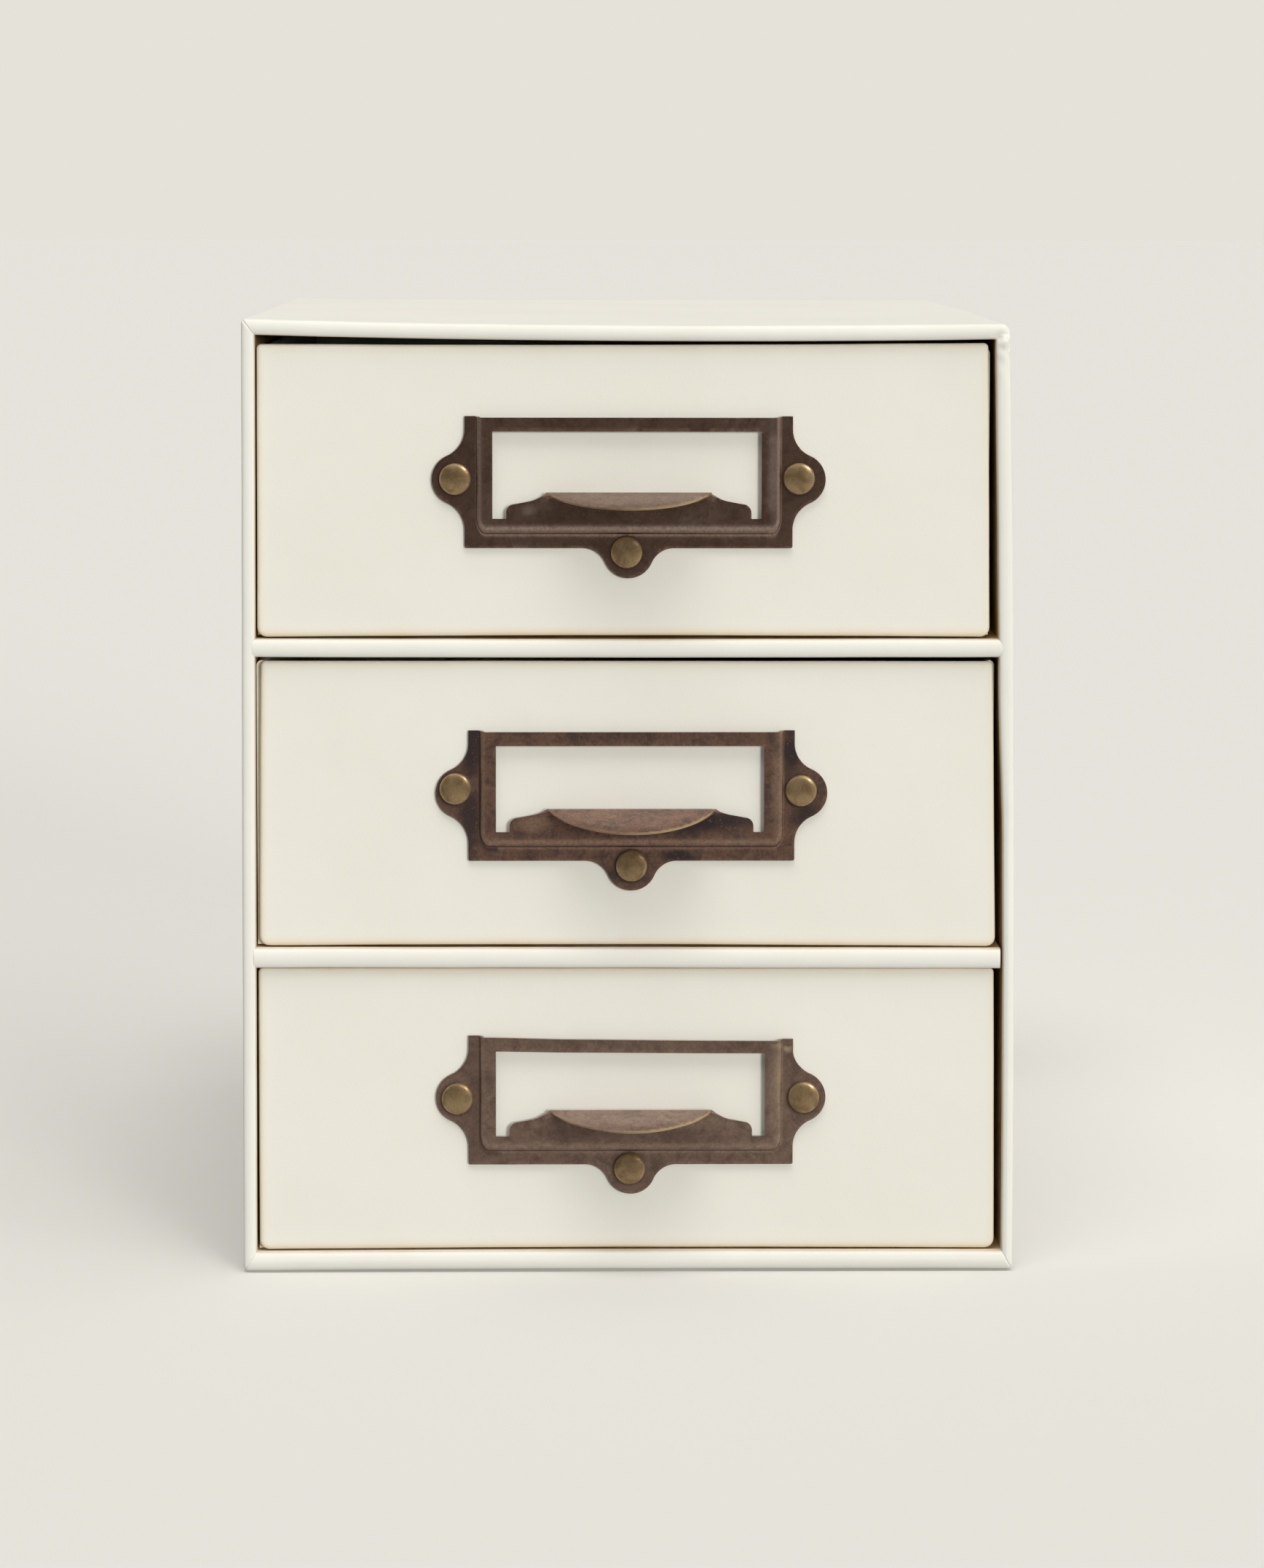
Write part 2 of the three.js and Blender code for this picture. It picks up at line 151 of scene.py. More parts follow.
TAB_NECK = (22.4, -19.1)  # where the shoulder ends and the edge begins to sweep up to the lip
TAB_SWEEP = (20.8, -18.8)  # the point that the sweep bends towards
BEND_RADIUS = 0.6  # on the inside of the fold
LIP_LENGTH = 12.2
LIP_THINNING = 0.55  # how much thinner the sheet gets at the lip's edge
# Half the width of the fold, how far down it lies, and the lip's slope in degrees below level
LIPS = {
    "lower": (18.6, 16.8, 10.5),
    "middle": (19.3, 17.6, 18.5),
    "upper": (18.7, 17.0, 13.0),
}
EDGE_STEP = 0.8  # how far apart the holder's points are at most: along its edges
GRID_STEP = 0.85  # and elsewhere
RIVET_PLACES = {"left": (-39, -14.2), "right": (39, -14.2), "bottom": (0, -31.2)}
RIVET_STRAYS = {  # how far from those places each rivet was set
    "lower": {"left": (-0.35, -0.2), "right": (0.2, 0.0), "bottom": (-0.3, 0.7)},
    "middle": {"left": (-0.75, 1.0), "right": (-0.75, 0.55), "bottom": (0.0, 0.5)},
    "upper": {"left": (0.0, 0.1), "right": (-0.8, 0.2), "bottom": (-0.5, 0.65)},
}
RIVET_HOLE = 1.7  # radius
HEAD_RADIUS = 3.55
HEAD_HEIGHT = 1.7
SHANK_RADIUS = 1.4
CAP_RADIUS = 3.3
CAP_HEIGHT = 1.5
SOCKET_RADIUS = 1.5
SOCKET_DEPTH = 1.0

# ---- looks. Colours are sRGB, 0 to 255.

BACKGROUND = (229, 226, 218)
CASE_PAPER = ((241, 239, 235), (238, 236, 231), (182, 142, 74))  # ivory, its darker mottled tone, and the tone of the painted warm shade and bounce light in the gaps
BACK_PAPER = ((236, 234, 228), (232, 229, 221), (182, 142, 74))
# Its last colour is the tone of the painted warm shade along the drawer faces' edges and in the trays'
# corners.
DRAWER_PAPER = ((240, 238, 232), (238, 236, 229), (228, 202, 150))
BRONZES = {  # how metallic it is, and its base, dark, light and bare colours; the dark and light ones also carry painted shade and painted highlights
    "upper": (0.95, (152, 124, 108), (118, 90, 80), (232, 204, 194), (220, 196, 156)),
    "middle": (0.76, (158, 121, 104), (88, 74, 74), (206, 172, 146), (218, 192, 150)),
    "lower": (0.72, (163, 135, 122), (114, 92, 82), (206, 180, 158), (218, 194, 152)),
}
BRASS = ((184, 156, 118), (130, 104, 76), (232, 216, 186))  # base, dark, and the rubbed rim with its painted glint
BROWN_SHADE_FROM, BROWN_SHADE_FULL = -0.4, 2.0  # behind the rounded edge, where the brown begins and where it is full: painted warm shade for the gaps, which also stands for brown board where the paper ends
RIM_PAINTED_BOUNCE = 0.7  # painted golden bounce light at the inner end of a rounded edge
RAMP_PAINTED_LIGHT = {"lower": (0.3, 1.0), "middle": (0.5, 1.0), "upper": (0.8, 0.6)}  # strengths of the painted highlight lines and of the painted shade lines
RIVET_SHADOW_RADIUS = 3.7  # of the painted shadow line round a rivet's head
RIVET_SHADOW_WIDTH = 0.4
RIVET_SHADOW_RINGS = (3.4, 3.75, 4.1, 4.5)  # radii at which the mesh has points for it
PATCH_WAVES = ((0.35, 3.5), (0.2, 1.3))
# Patches on the holders: x and z of the middle, half width and half height, and strength
# Painted shade on the left-facing ramps and on the tabs under the lips; the rest are darker patina.
PATINA_AND_SHADE_PATCHES = {
    "lower": [(-13, -22.4, 8, 1.6, 0.5), (-35.8, -14, 1.6, 16, 0.4), (30, -2, 6, 1.5, 0.3)],
    "middle": [
        (-35.9, -4, 2.2, 7, 1.0), (-36.5, -21, 2.6, 7, 0.9), (36, -5, 2.2, 6, 1.0), (40, -20, 4, 3, 0.9),
        (15, -20.5, 15, 2.6, 1.0), (10.5, -28.5, 4, 1.6, 1.0), (-6, -33, 3, 3, 0.7), (-1, -1, 9, 1.5, 0.4),
    ],
    "upper": [(-10, -22, 9, 2, 0.4), (20, -29, 12, 1.5, 0.4), (-36, -6, 2, 6, 0.4)],
}
# Painted highlights down the right-facing ramps and at the lower holder's top right corner; the others make
# the tabs paler in spots.
HIGHLIGHT_AND_PALE_PATCHES = {
    "lower": [
        (35.6, -2.6, 0.9, 0.7, 1.0), (33.4, -1.8, 1.2, 0.5, 0.6),
        (33, -14, 1.6, 12, 0.5), (12, -20, 12, 1.5, 0.4),
    ],
    "middle": [(33, -13, 1.4, 12, 0.6), (-22, -21, 4, 2, 0.5)],
    "upper": [(32.5, -13, 1.3, 12, 0.7), (-22.5, -21, 1.6, 1.2, 0.5)],
}
RUBBED_AND_GLINT_PATCHES = {  # where bare metal shows, with a painted glint at the lower holder's top right corner and down its right ramp
    "lower": [(35.4, -2.4, 0.8, 0.6, 0.8), (33, -1.6, 1.4, 0.4, 0.5), (33.2, -10, 0.5, 6, 0.3)],
    "middle": [],
    "upper": [],
}

# ---- studio and camera

FLOOR_DROP = 0.08  # the floor lies this far under the base, as its paper is a little uneven
FLOOR_SIZE = 60.0  # m
FLOOR_TONE = (0.8, 0.792, 0.788)  # linear; it makes the lit floor as bright as the room behind it
LIGHT_TINT = (1.0, 0.995, 0.93)
# Direction towards it, strength, the angle it spans in degrees, whether it lights matt things, and whether it
# shows in shiny ones
SUNS = {
    "key_high": ((0.36, -0.35, 0.865), 0.2, 30, True, True),
    "key_low": ((0.62, -0.58, 0.53), 0.2, 26, True, True),
    "spark": ((0.62, -0.38, 0.69), 1.1, 12, False, True),
    "top": ((-0.06, -0.35, 0.93), 1.26, 34, True, False),
    "fill": ((0.38, -0.91, 0.14), 1.62, 16, True, False),
}
# How bright the room is, when it is 1 behind the chest
ROOM_SIDE = 0.6
ROOM_TOP = 0.6
ROOM_GLOW = 0.2  # so much more at the right
ROOM_FRONT = 0.12
ROOM_FRONT_LOW = 0.5
CAMERA_PLACE = (-18.0, -1169.0, 242.3)
CAMERA_PITCH = 5.17  # degrees down
CAMERA_YAW = 1.03  # degrees towards +X
CAMERA_ROLL = 0.10
CAMERA_LENS = 107.6
CAMERA_SHIFT = -0.10  # keeps the verticals nearly straight, as they are in the photo


# ---- small helpers

def linear(rgb):
    """A 0-255 sRGB colour as the linear colour that Blender takes."""
    result = []
    for value in rgb:
        share = value / 255
        result.append(share / 12.92 if share <= 0.04045 else ((share + 0.055) / 1.055) ** 2.4)
    return (*result, 1.0)


def rise(value, start, end):
    """0 up to start, 1 from end on and smooth between them; start may be the larger of the two."""
    share = min(1.0, max(0.0, (value - start) / (end - start)))
    return share * share * (3 - 2 * share)


def line(value, middle, width):
    """1 at middle, and fading on both sides of it."""
    return exp(-(((value - middle) / width) ** 2))


def waves(x, y, z, seed, sizes):
    """Smooth noise round 0. sizes holds (height, width of a bump) for each of the waves it is the sum of."""
    total = 0.0
    for number, (height, width) in enumerate(sizes, seed):
        total += height * noise.noise(Vector((x / width + 17.3 * number, y / width, z / width)))
    return total


def spaced(length, fine, coarse, growth=1.35):
    """Positions from 0 to length, close together near both ends."""
    half = []
    place, step = 0.0, fine
    while place < length / 2 - step / 2:
        half.append(place)
        place += step
        step = min(step * growth, coarse)
    return half + [length - p for p in reversed(half)]


def node_box(name):
    low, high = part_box(name)
    return Vector(low) / MM, Vector(high) / MM


def add_object(name, points, faces, material, attributes=(), sharp=38):
    """A mesh, smooth except across its sharp edges. A point holds x, y and z in mm, then a number for each of
    the attributes."""
    mesh = bpy.data.meshes.new(name)
    mesh.from_pydata([[c * MM for c in p[:3]] for p in points], [], faces)
    for number, key in enumerate(attributes, 3):
        layer = mesh.attributes.new(key, "FLOAT", "POINT")
        layer.data.foreach_set("value", [p[number] for p in points])
    work = bmesh.new()
    work.from_mesh(mesh)
    bmesh.ops.recalc_face_normals(work, faces=work.faces)
    work.to_mesh(mesh)
    work.free()
    mesh.shade_smooth()
    mesh.set_sharp_from_angle(angle=radians(sharp))
    mesh.materials.append(material)
    obj = bpy.data.objects.new(name, mesh)
    scene.collection.objects.link(obj)
    return obj


def bake_modifiers(obj, sharp):
    """Replaces an object's mesh by the one that its modifiers make."""
    depsgraph = bpy.context.evaluated_depsgraph_get()
    mesh = bpy.data.meshes.new_from_object(obj.evaluated_get(depsgraph))
    old = obj.data
    obj.modifiers.clear()
    obj.data = mesh
    bpy.data.meshes.remove(old)
    mesh.shade_smooth()
    mesh.set_sharp_from_angle(angle=radians(sharp))


def place_piece(obj, body, slot, *nodes):
    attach(obj, body)
    if nodes:
        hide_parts(*nodes)


def add_tube(name, rows, material, ring=False):
    """A tube of paper whose cross-sections are the rows. ring joins the last row to the first, and otherwise
    both ends are capped."""
    count = len(rows[0])
    points = [p for row in rows for p in row]
    faces = []
    for i in range(len(rows) if ring else len(rows) - 1):
        k = (i + 1) % len(rows)
        for j in range(count):
            m = (j + 1) % count
            faces.append((i * count + j, i * count + m, k * count + m, k * count + j))
    if not ring:
        faces.append(tuple(range(count)))
        faces.append(tuple((len(rows) - 1) * count + j for j in range(count)))
    return add_object(name, points, faces, material, ["warm_shade"])


# ---- materials

def new_material(name):
    material = bpy.data.materials.new(name)
    material.use_nodes = True
    tree = material.node_tree
    return material, tree, tree.nodes["Principled BSDF"]


def join_inputs(tree, node, inputs):
    """Fills a node's inputs with numbers and linear colours, and links them to other nodes' outputs."""
    for key, value in inputs.items():
        if isinstance(value, bpy.types.NodeSocket):
            tree.links.new(value, node.inputs[key])
        else:
            node.inputs[key].default_value = value


def add_node(tree, kind, inputs, output=0, **settings):
    """The output of a new node."""
    node = tree.nodes.new("ShaderNode" + kind)
    for key, value in settings.items():
        setattr(node, key, value)
    join_inputs(tree, node, inputs)
    return node.outputs[output]


def noise_node(tree, scale, detail=3.0, roughness=0.55, distortion=0.0):
    """Noise in object space. scale is how many bumps there are to a metre."""
    inputs = {"Scale": scale, "Detail": detail, "Roughness": roughness, "Distortion": distortion}
    inputs["Vector"] = add_node(tree, "TexCoord", {}, "Object")
    return add_node(tree, "TexNoise", inputs, "Fac")


def ranged(tree, value, low, high, to_low=0.0, to_high=1.0):
    inputs = {"Value": value, "From Min": low, "From Max": high, "To Min": to_low, "To Max": to_high}
    return add_node(tree, "MapRange", inputs, interpolation_type="SMOOTHSTEP")


def maths(tree, operation, first, second):
    return add_node(tree, "Math", {0: first, 1: second}, operation=operation)


def layered(tree, base, layers):
    """The base colour with others laid over it. layers holds pairs: where, and the colour."""
    colour = linear(base)
    for where, over in layers:
        colour = add_node(tree, "Mix", {"Factor": where, 6: colour, 7: linear(over)}, 2, data_type="RGBA")
    return colour


def attribute(tree, name):
    return add_node(tree, "Attribute", {}, "Fac", attribute_name=name)


def bumped(tree, height, distance, strength, **below):
    inputs = {"Height": height, "Distance": distance, "Strength": strength, **below}
    return add_node(tree, "Bump", inputs, "Normal")


def paper(name, ivory, shade, gold):
    """Smooth uncoated paper pasted over board, with warm shade and bounce light painted where its tint
    attribute says so.
    """
    material, tree, shader = new_material(name)
    mottle = ranged(tree, noise_node(tree, 22, 4, 0.6), 0.35, 0.7)
    fibre = noise_node(tree, 1900, 4, 0.65, 0.6)
    flecks = ranged(tree, noise_node(tree, 420, 3, 0.7), 0.62, 0.8, 0.0, 0.35)
    uneven = ranged(tree, noise_node(tree, 90), 0.3, 0.7, 0.75, 1.0)
    # painted warm shade: the tint attribute, made a little uneven
    painted_warm_shade = maths(tree, "MULTIPLY", attribute(tree, "warm_shade"), uneven)
    soft = bumped(tree, noise_node(tree, 34, 2), 0.0011, 0.35)
    join_inputs(tree, shader, {
        "Base Color": layered(tree, ivory, ((mottle, shade), (flecks, shade), (painted_warm_shade, gold))),
        "Roughness": ranged(tree, fibre, 0.3, 0.7, 0.52, 0.66),
        "Specular IOR Level": 0.35,
        "Normal": bumped(tree, fibre, 0.00006, 0.5, Normal=soft),
    })
    return material


def bronze(name, metallic, base, dark, light, gold):
    """Patinated sheet bronze: a brown skin, nearly black where the dark attribute says (patina, and painted
    shade), paler where the light one says (painted highlights, and paler spots), and bare metal with painted
    glints where the last one does."""
    material, tree, shader = new_material(name)
    cloud = ranged(tree, noise_node(tree, 260, 6, 0.72, 0.6), 0.4, 0.66, 0.0, 0.7)
    blush = ranged(tree, noise_node(tree, 130, 4, 0.6, 0.3), 0.48, 0.7, 0.0, 0.25)
    grain = ranged(tree, noise_node(tree, 1500, 4, 0.8), 0.36, 0.7)
    specks = ranged(tree, noise_node(tree, 3000, 2, 0.6), 0.64, 0.74, 0.0, 0.5)
    soft = bumped(tree, noise_node(tree, 170, 2), 0.0002, 0.25)
    layers = (
        (blush, light), (cloud, dark), (attribute(tree, "dark"), dark), (attribute(tree, "light"), light),
        (maths(tree, "MULTIPLY", grain, 0.5), dark), (specks, gold), (attribute(tree, "rubbed_and_glint"), gold),
    )
    join_inputs(tree, shader, {
        "Base Color": layered(tree, base, layers),
        "Metallic": metallic,
        "Roughness": ranged(tree, grain, 0.0, 1.0, 0.3, 0.4),
        "Normal": bumped(tree, grain, 0.00002, 0.6, Normal=soft),
    })
    return material


def brass(name, base, dark, bright):
    """Antique brass under old lacquer: dark blotches, and a brighter rim that is rubbed and painted with a
    glint.
    """
    material, tree, shader = new_material(name)
    blotch = ranged(tree, noise_node(tree, 300, 4, 0.6, 0.5), 0.4, 0.68, 0.0, 0.75)
    grain = ranged(tree, noise_node(tree, 2300, 3, 0.7), 0.4, 0.75, 0.0, 0.4)
    layers = ((blotch, dark), (grain, dark), (attribute(tree, "rubbed_and_glint"), bright))
    join_inputs(tree, shader, {
        "Base Color": layered(tree, base, layers),
        "Metallic": 0.72,
        "Roughness": ranged(tree, blotch, 0.0, 1.0, 0.3, 0.42),
        "Normal": bumped(tree, grain, 0.00003, 0.5),
    })
    return material


# ---- case

def corner_point(rect, radii, corner, turn):
    """A point on a rounded corner of a rectangle (x0, z0, x1, z1); turn goes from 0 to 1 along the corner."""
    x0, z0, x1, z1 = rect
    radius = radii[corner]
    across, up = ((x0, z0), (x1, z0), (x1, z1), (x0, z1))[corner]
    angle = radians(180 + 90 * (corner + turn))
    middle_x = across + (radius if corner in (0, 3) else -radius)
    middle_z = up + (radius if corner in (0, 1) else -radius)
    return middle_x + radius * cos(angle), middle_z + radius * sin(angle)


def rim_stations(outer, inner):
    """Matching points round the outside and the inside of the case: (outer, inner, corner or None, turn)."""
    stations = []
    lines = ((outer, CASE_CORNERS), (inner, (OPENING_CORNER,) * 4))
    for corner in range(4):
        for step in range(CORNER_STEPS + 1):
            turn = step / CORNER_STEPS
            pair = [corner_point(rect, radii, corner, turn) for rect, radii in lines]
            stations.append((*pair, corner, turn))
        after = (corner + 1) % 4
        ends = []
        for rect, radii in lines:
            ends.append([np.array(corner_point(rect, radii, *end)) for end in ((corner, 1), (after, 0))])
        length = np.linalg.norm(ends[0][1] - ends[0][0])
        for place in spaced(length, 0.4, 5.0, 1.12)[1:-1]:
            share = place / length
            pair = [tuple(a + (b - a) * share) for a, b in ends]
            stations.append((*pair, None, share))
    return stations


def case_bend(x, z, inside):
    """Where a point of the front goes when the top sags and the sides lean and bow."""
    across, up = x / HALF_WIDTH, (z - HALF_HEIGHT) / HALF_HEIGHT
    near_top = rise(z, 150, 210)
    near_base = rise(z, 40, 0)
    sag = TOP_SAG * (1 - across ** 2) + TOP_TILT * across
    lift = near_top * sag + near_base * BASE_BOW * (1 - across ** 2)
    if not inside:
        lift += near_base * BASE_TRIM
    shift, bow, slope = LEFT_WALL if across < 0 else RIGHT_WALL
    lean = shift + bow * (1 - up ** 2) + slope * up
    if inside and across > 0:
        lean += RIGHT_SWELL + RIGHT_TOP_SWELL * rise(up, -0.1, 0.25)
    return x + lean * rise(abs(across), 0.8, 0.95), z + lift


def crease(x, z, behind, corner, turn):
    """How far back the paper lies where it is folded: a mitre line at each corner, a notch at the top left
    and crumples at the top right. It all fades out a little behind the front."""
    depth = 0.0
    if corner is not None:
        depth += MITRE_DEPTHS[corner] * line(turn, 0.5, 0.13)
    from_crumple = hypot(x - CRUMPLE_MIDDLE[0], (z - CRUMPLE_MIDDLE[1]) / 2)
    slant_x, slant_y = x + 0.6 * z, z - 0.6 * x
    depth += rise(from_crumple, CRUMPLE_RADIUS, 0) * waves(slant_x, slant_y, 0, 5, CRUMPLE_WAVES)
    from_notch = hypot(x - NOTCH_MIDDLE[0], z - NOTCH_MIDDLE[1])
    depth += NOTCH_DEPTH * rise(from_notch, NOTCH_RADIUS, 0)
    return depth * rise(behind, 2.5, 0)


def rounded_nose(depth, power):
    """The rounding of a board's front edge, in steps: (share of the way across it, mm behind the front)."""
    for step in range(1, NOSE_STEPS):
        angle = pi * step / NOSE_STEPS
        yield (1 - cos(angle)) / 2, depth * (1 - sin(angle) ** power)


def make_case_shell(material):
    low, high = node_box("side_panel_left")
    far_low, far_high = node_box("side_panel_right")
    top_low, _ = node_box("top_panel")
    _, base_high = node_box("bottom_panel")
    outer = (low.x, low.z, far_high.x, far_high.z)
    inner = (high.x, base_high.z, far_low.x, top_low.z)
    front, back = low.y, high.y
    along = spaced(back - front - LEVEL_NOSE - BACK_EDGE, 0.8, 14.0)
    rows = []
    for start, end, corner, turn in rim_stations(outer, inner):
        out_x, out_z = start[0] - end[0], start[1] - end[1]
        thickness = hypot(out_x, out_z) or 1
        at_side = corner is None and abs(out_x) > 0.7 * (high.x - low.x)
        nose = SIDE_NOSE if at_side else LEVEL_NOSE
        straight = [nose + (back - front - nose - BACK_EDGE) * place / along[-1] for place in along]
        row = []

        def add(share, behind, tint):
            """A point that share of the way from the outside to the inside."""
            x, z = end[0] + out_x * (1 - share), end[1] + out_z * (1 - share)
            bent_x, bent_z = case_bend(x, z, share > 0.5)
            fade = 1 - (1 - BEND_LEFT_AT_BACK) * rise(behind / (back - front), 0, 0.625)
            x += (bent_x - x) * fade
            z += (bent_z - z) * fade
            wave = waves(x, front + behind, z, 1, WALL_WAVES) * (INSIDE_CALM if share > 0.5 else 1)
            x += wave * out_x / thickness
            z += wave * out_z / thickness
            behind += waves(x, front + behind, z, 3, RIM_WAVES) * rise(behind, 3, 0)
            behind += crease(x, z, behind, corner, turn)
            row.append((x, front + behind, z, tint))

        for behind in reversed(straight):  # the outside
            add(0.0, behind, 0.0)
        # painted golden bounce light where the rounded edge turns into the opening
        for share, behind in rounded_nose(nose, CASE_NOSE_POWER):
            add(share, behind, RIM_PAINTED_BOUNCE * rise(share, 0.92, 1))
        # the inside gets painted brown shade behind the rounded edge; it also stands for brown board
        for behind in straight:  # the inside
            add(1.0, behind, rise(behind - nose, BROWN_SHADE_FROM, BROWN_SHADE_FULL))
        for step in range(1, 6):  # round the back edge
            angle = pi * step / 6
            add((1 + cos(angle)) / 2, back - front - BACK_EDGE * (1 - sin(angle)), 0.0)
        rows.append(row)
    return add_tube("case_shell", rows, material, ring=True)


def make_case_back(material, sheet_material):
    low, high = node_box("back_panel")
    width, height = high.x - low.x, high.z - low.z
    middle_x, middle_z = (low.x + high.x) / 2, (low.z + high.z) / 2
    about = Matrix.Rotation(pi, 4, "Z")
    board = make_slab(
        "case_back", width, height, high.y - low.y, (0.4,) * 4, 0.4, material, (middle_x, high.y, middle_z),
        turn=about,
    )
    more_width, more_height = BACK_SHEET_MARGINS
    shift, behind = BACK_SHEET_SHIFT
    cover = make_slab(
        "case_back_paper", width + more_width, height + more_height, BACK_SHEET, (0.6,) * 4, 0.12,
        sheet_material, (middle_x + shift, high.y + behind, middle_z), turn=about,
        bend=lambda x, y, z: (x, y + 0.05 + waves(x, 0, z, 8, ((0.05, 30),)), z),
    )
    return board, cover


def make_shelf(name, material):
    """A board between the side walls, with a rounded and slightly uneven front edge."""
    seed, bow, tilt, drop, swell = SHELVES[name]
    low, high = node_box("shelf_" + name)
    middle, half = (low.z + high.z) / 2, (high.z - low.z) / 2
    along = spaced(high.y - low.y - LEVEL_NOSE, 0.6, 14.0)
    into_wall = 0.05
    rows = []
    for place in spaced(high.x - low.x + 2 * into_wall, 0.5, 5.0):
        x = low.x - into_wall + place
        share = place / (high.x - low.x) * 2 - 1
        lift = bow * (1 - share ** 2) + tilt * share + waves(x, 0, 0, seed, ((0.06, 24),))
        row = []

        def add(behind, z, tint):
            near_front = rise(behind, SHELF_ROUGHNESS, 0)
            dropped = drop + swell * 0.5 * (1 - z / half)
            row.append((
                x,
                low.y + behind + waves(x, z, 0, seed + 1, ((0.1, 16),)) * near_front,
                middle + z + (lift - dropped) * near_front,
                tint,
            ))

        # Both sides get painted brown shade behind the rounded edge; it also stands for brown board
        for distance in reversed(along):  # the underside
            add(LEVEL_NOSE + distance, -half, rise(distance, BROWN_SHADE_FROM, BROWN_SHADE_FULL))
        # painted golden bounce light where the rounded edge turns into the gaps above and below
        for across, behind in rounded_nose(LEVEL_NOSE, SHELF_NOSE_POWER):
            up = 2 * across - 1
            add(behind, half * up, RIM_PAINTED_BOUNCE * rise(abs(up), 0.86, 1))
        for distance in along:  # the upper side
            add(LEVEL_NOSE + distance, half, rise(distance, BROWN_SHADE_FROM, BROWN_SHADE_FULL))
        rows.append(row)
    return add_tube(f"shelf_{name}_cover", rows, material)


# ---- boards and drawers

def rounded_steps(length, edge, coarse):
    """Grid lines across a board: close together over its rounded edges, wider in the middle."""
    half = [edge * (1 - cos(pi / 2 * i / 6)) for i in range(7)]
    step = edge * 0.45
    place = edge
    while place + step < length / 2:
        place += step
        half.append(place)
        step = min(step * 1.35, coarse)
    return half + [length - p for p in reversed(half) if p < length / 2 - 1e-6]


def make_slab(name, width, height, thickness, corners, edge, material, origin, turn=Matrix(), bend=None,
              warm_shade=None, coarse=6.0):
    """A board with rounded edges and corners. It is drawn upright with its face at y = 0 and its middle at
    x = z = 0, bent, turned and moved. The tint function (x, z, inset) gives the painted warm shade of a point
    `inset` mm in from the edge."""
    columns = [p - width / 2 for p in rounded_steps(width, edge, coarse)]
    levels = [p - height / 2 for p in rounded_steps(height, edge, coarse)]
    move = Matrix.Translation(Vector(origin)) @ turn
    points = []

    def rounded(x, z):
        """The point moved in so that the square corner becomes a round one."""
        corner = (0 if x < 0 else 1) if z < 0 else (3 if x < 0 else 2)
        radius = corners[corner]
        middle_x, middle_z = copysign(width / 2 - radius, x), copysign(height / 2 - radius, z)
        off_x, off_z = x - middle_x, z - middle_z
        if off_x * x <= 0 or off_z * z <= 0:
            return x, z
        scale = max(abs(off_x), abs(off_z)) / hypot(off_x, off_z)
        return middle_x + off_x * scale, middle_z + off_z * scale

    for is_back in (False, True):
        for z in levels:
            for x in columns:
                inset = min(width / 2 - abs(x), height / 2 - abs(z))
                lean = max(0.0, 1 - inset / edge)
                dip = edge * (1 - sqrt(max(0.0, 1 - lean * lean)))
                round_x, round_z = rounded(x, z)
                point = (round_x, thickness - dip if is_back else dip, round_z)
                point = bend(*point) if bend else point
                points.append((*(move @ Vector(point)), warm_shade(round_x, round_z, inset) if warm_shade else 0.0))
    across, up = len(columns), len(levels)
    count = across * up
    faces = []
    for j in range(up - 1):
        for i in range(across - 1):
            a = j * across + i
            faces.append((a, a + 1, a + 1 + across, a + across))
            faces.append((count + a, count + a + across, count + a + 1 + across, count + a + 1))
    border = list(range(across))
    border += [j * across + across - 1 for j in range(1, up)]
    border += [(up - 1) * across + i for i in range(across - 2, -1, -1)]
    border += [j * across for j in range(up - 2, 0, -1)]
    for first, second in zip(border, border[1:] + border[:1]):
        faces.append((first, count + first, count + second, second))
    return add_object(name, points, faces, material, ["warm_shade"])


def make_drawer_front(drawer, material, seed):
    low, high = node_box(drawer + "_drawer_front")
    width, height = high.x - low.x, high.z - low.z
    bows, rises, shifts, left, right = FRONT_SHAPES[drawer]

    def bend(x, y, z):
        across, up = x / (width / 2), z / height + 0.5
        lift = waves(x, 0, z, seed + 3, ((0.05, 20),))
        nearness = (rise(up, 0.4, 0.9), rise(up, 0.6, 0.1))
        for near, bow, rising, shift in zip(nearness, bows, rises, shifts):
            lift += near * (shift + bow * (1 - across ** 2) + rising * across)
        at_bottom, at_top = left if x < 0 else right
        aside = waves(x, z, 0, seed + 2, ((0.07, 22),)) + at_bottom + (at_top - at_bottom) * up
        swell = waves(x, 0, z, seed, FACE_WAVES) * rise(y, BOARD, 0)
        return x + aside * rise(abs(across), 0.7, 1), y + swell, z + lift

    def warm_shade(x, z, inset):
        """A painted warm shade along the edges, most at the bottom."""
        from_bottom, from_top, from_side = z + height / 2, height / 2 - z, width / 2 - abs(x)
        at_side = max(0.3 * rise(from_side, 2.2, 0), 0.22 * rise(from_top, 3, 0))
        return max(0.5 * rise(from_bottom, 2.6, 0), at_side)

    return make_slab(
        drawer + "_drawer_face", width, height, high.y - low.y, FRONT_CORNERS, FRONT_EDGE, material,
        ((low.x + high.x) / 2, low.y, (low.z + high.z) / 2), bend=bend, warm_shade=warm_shade, coarse=4.0,
    )


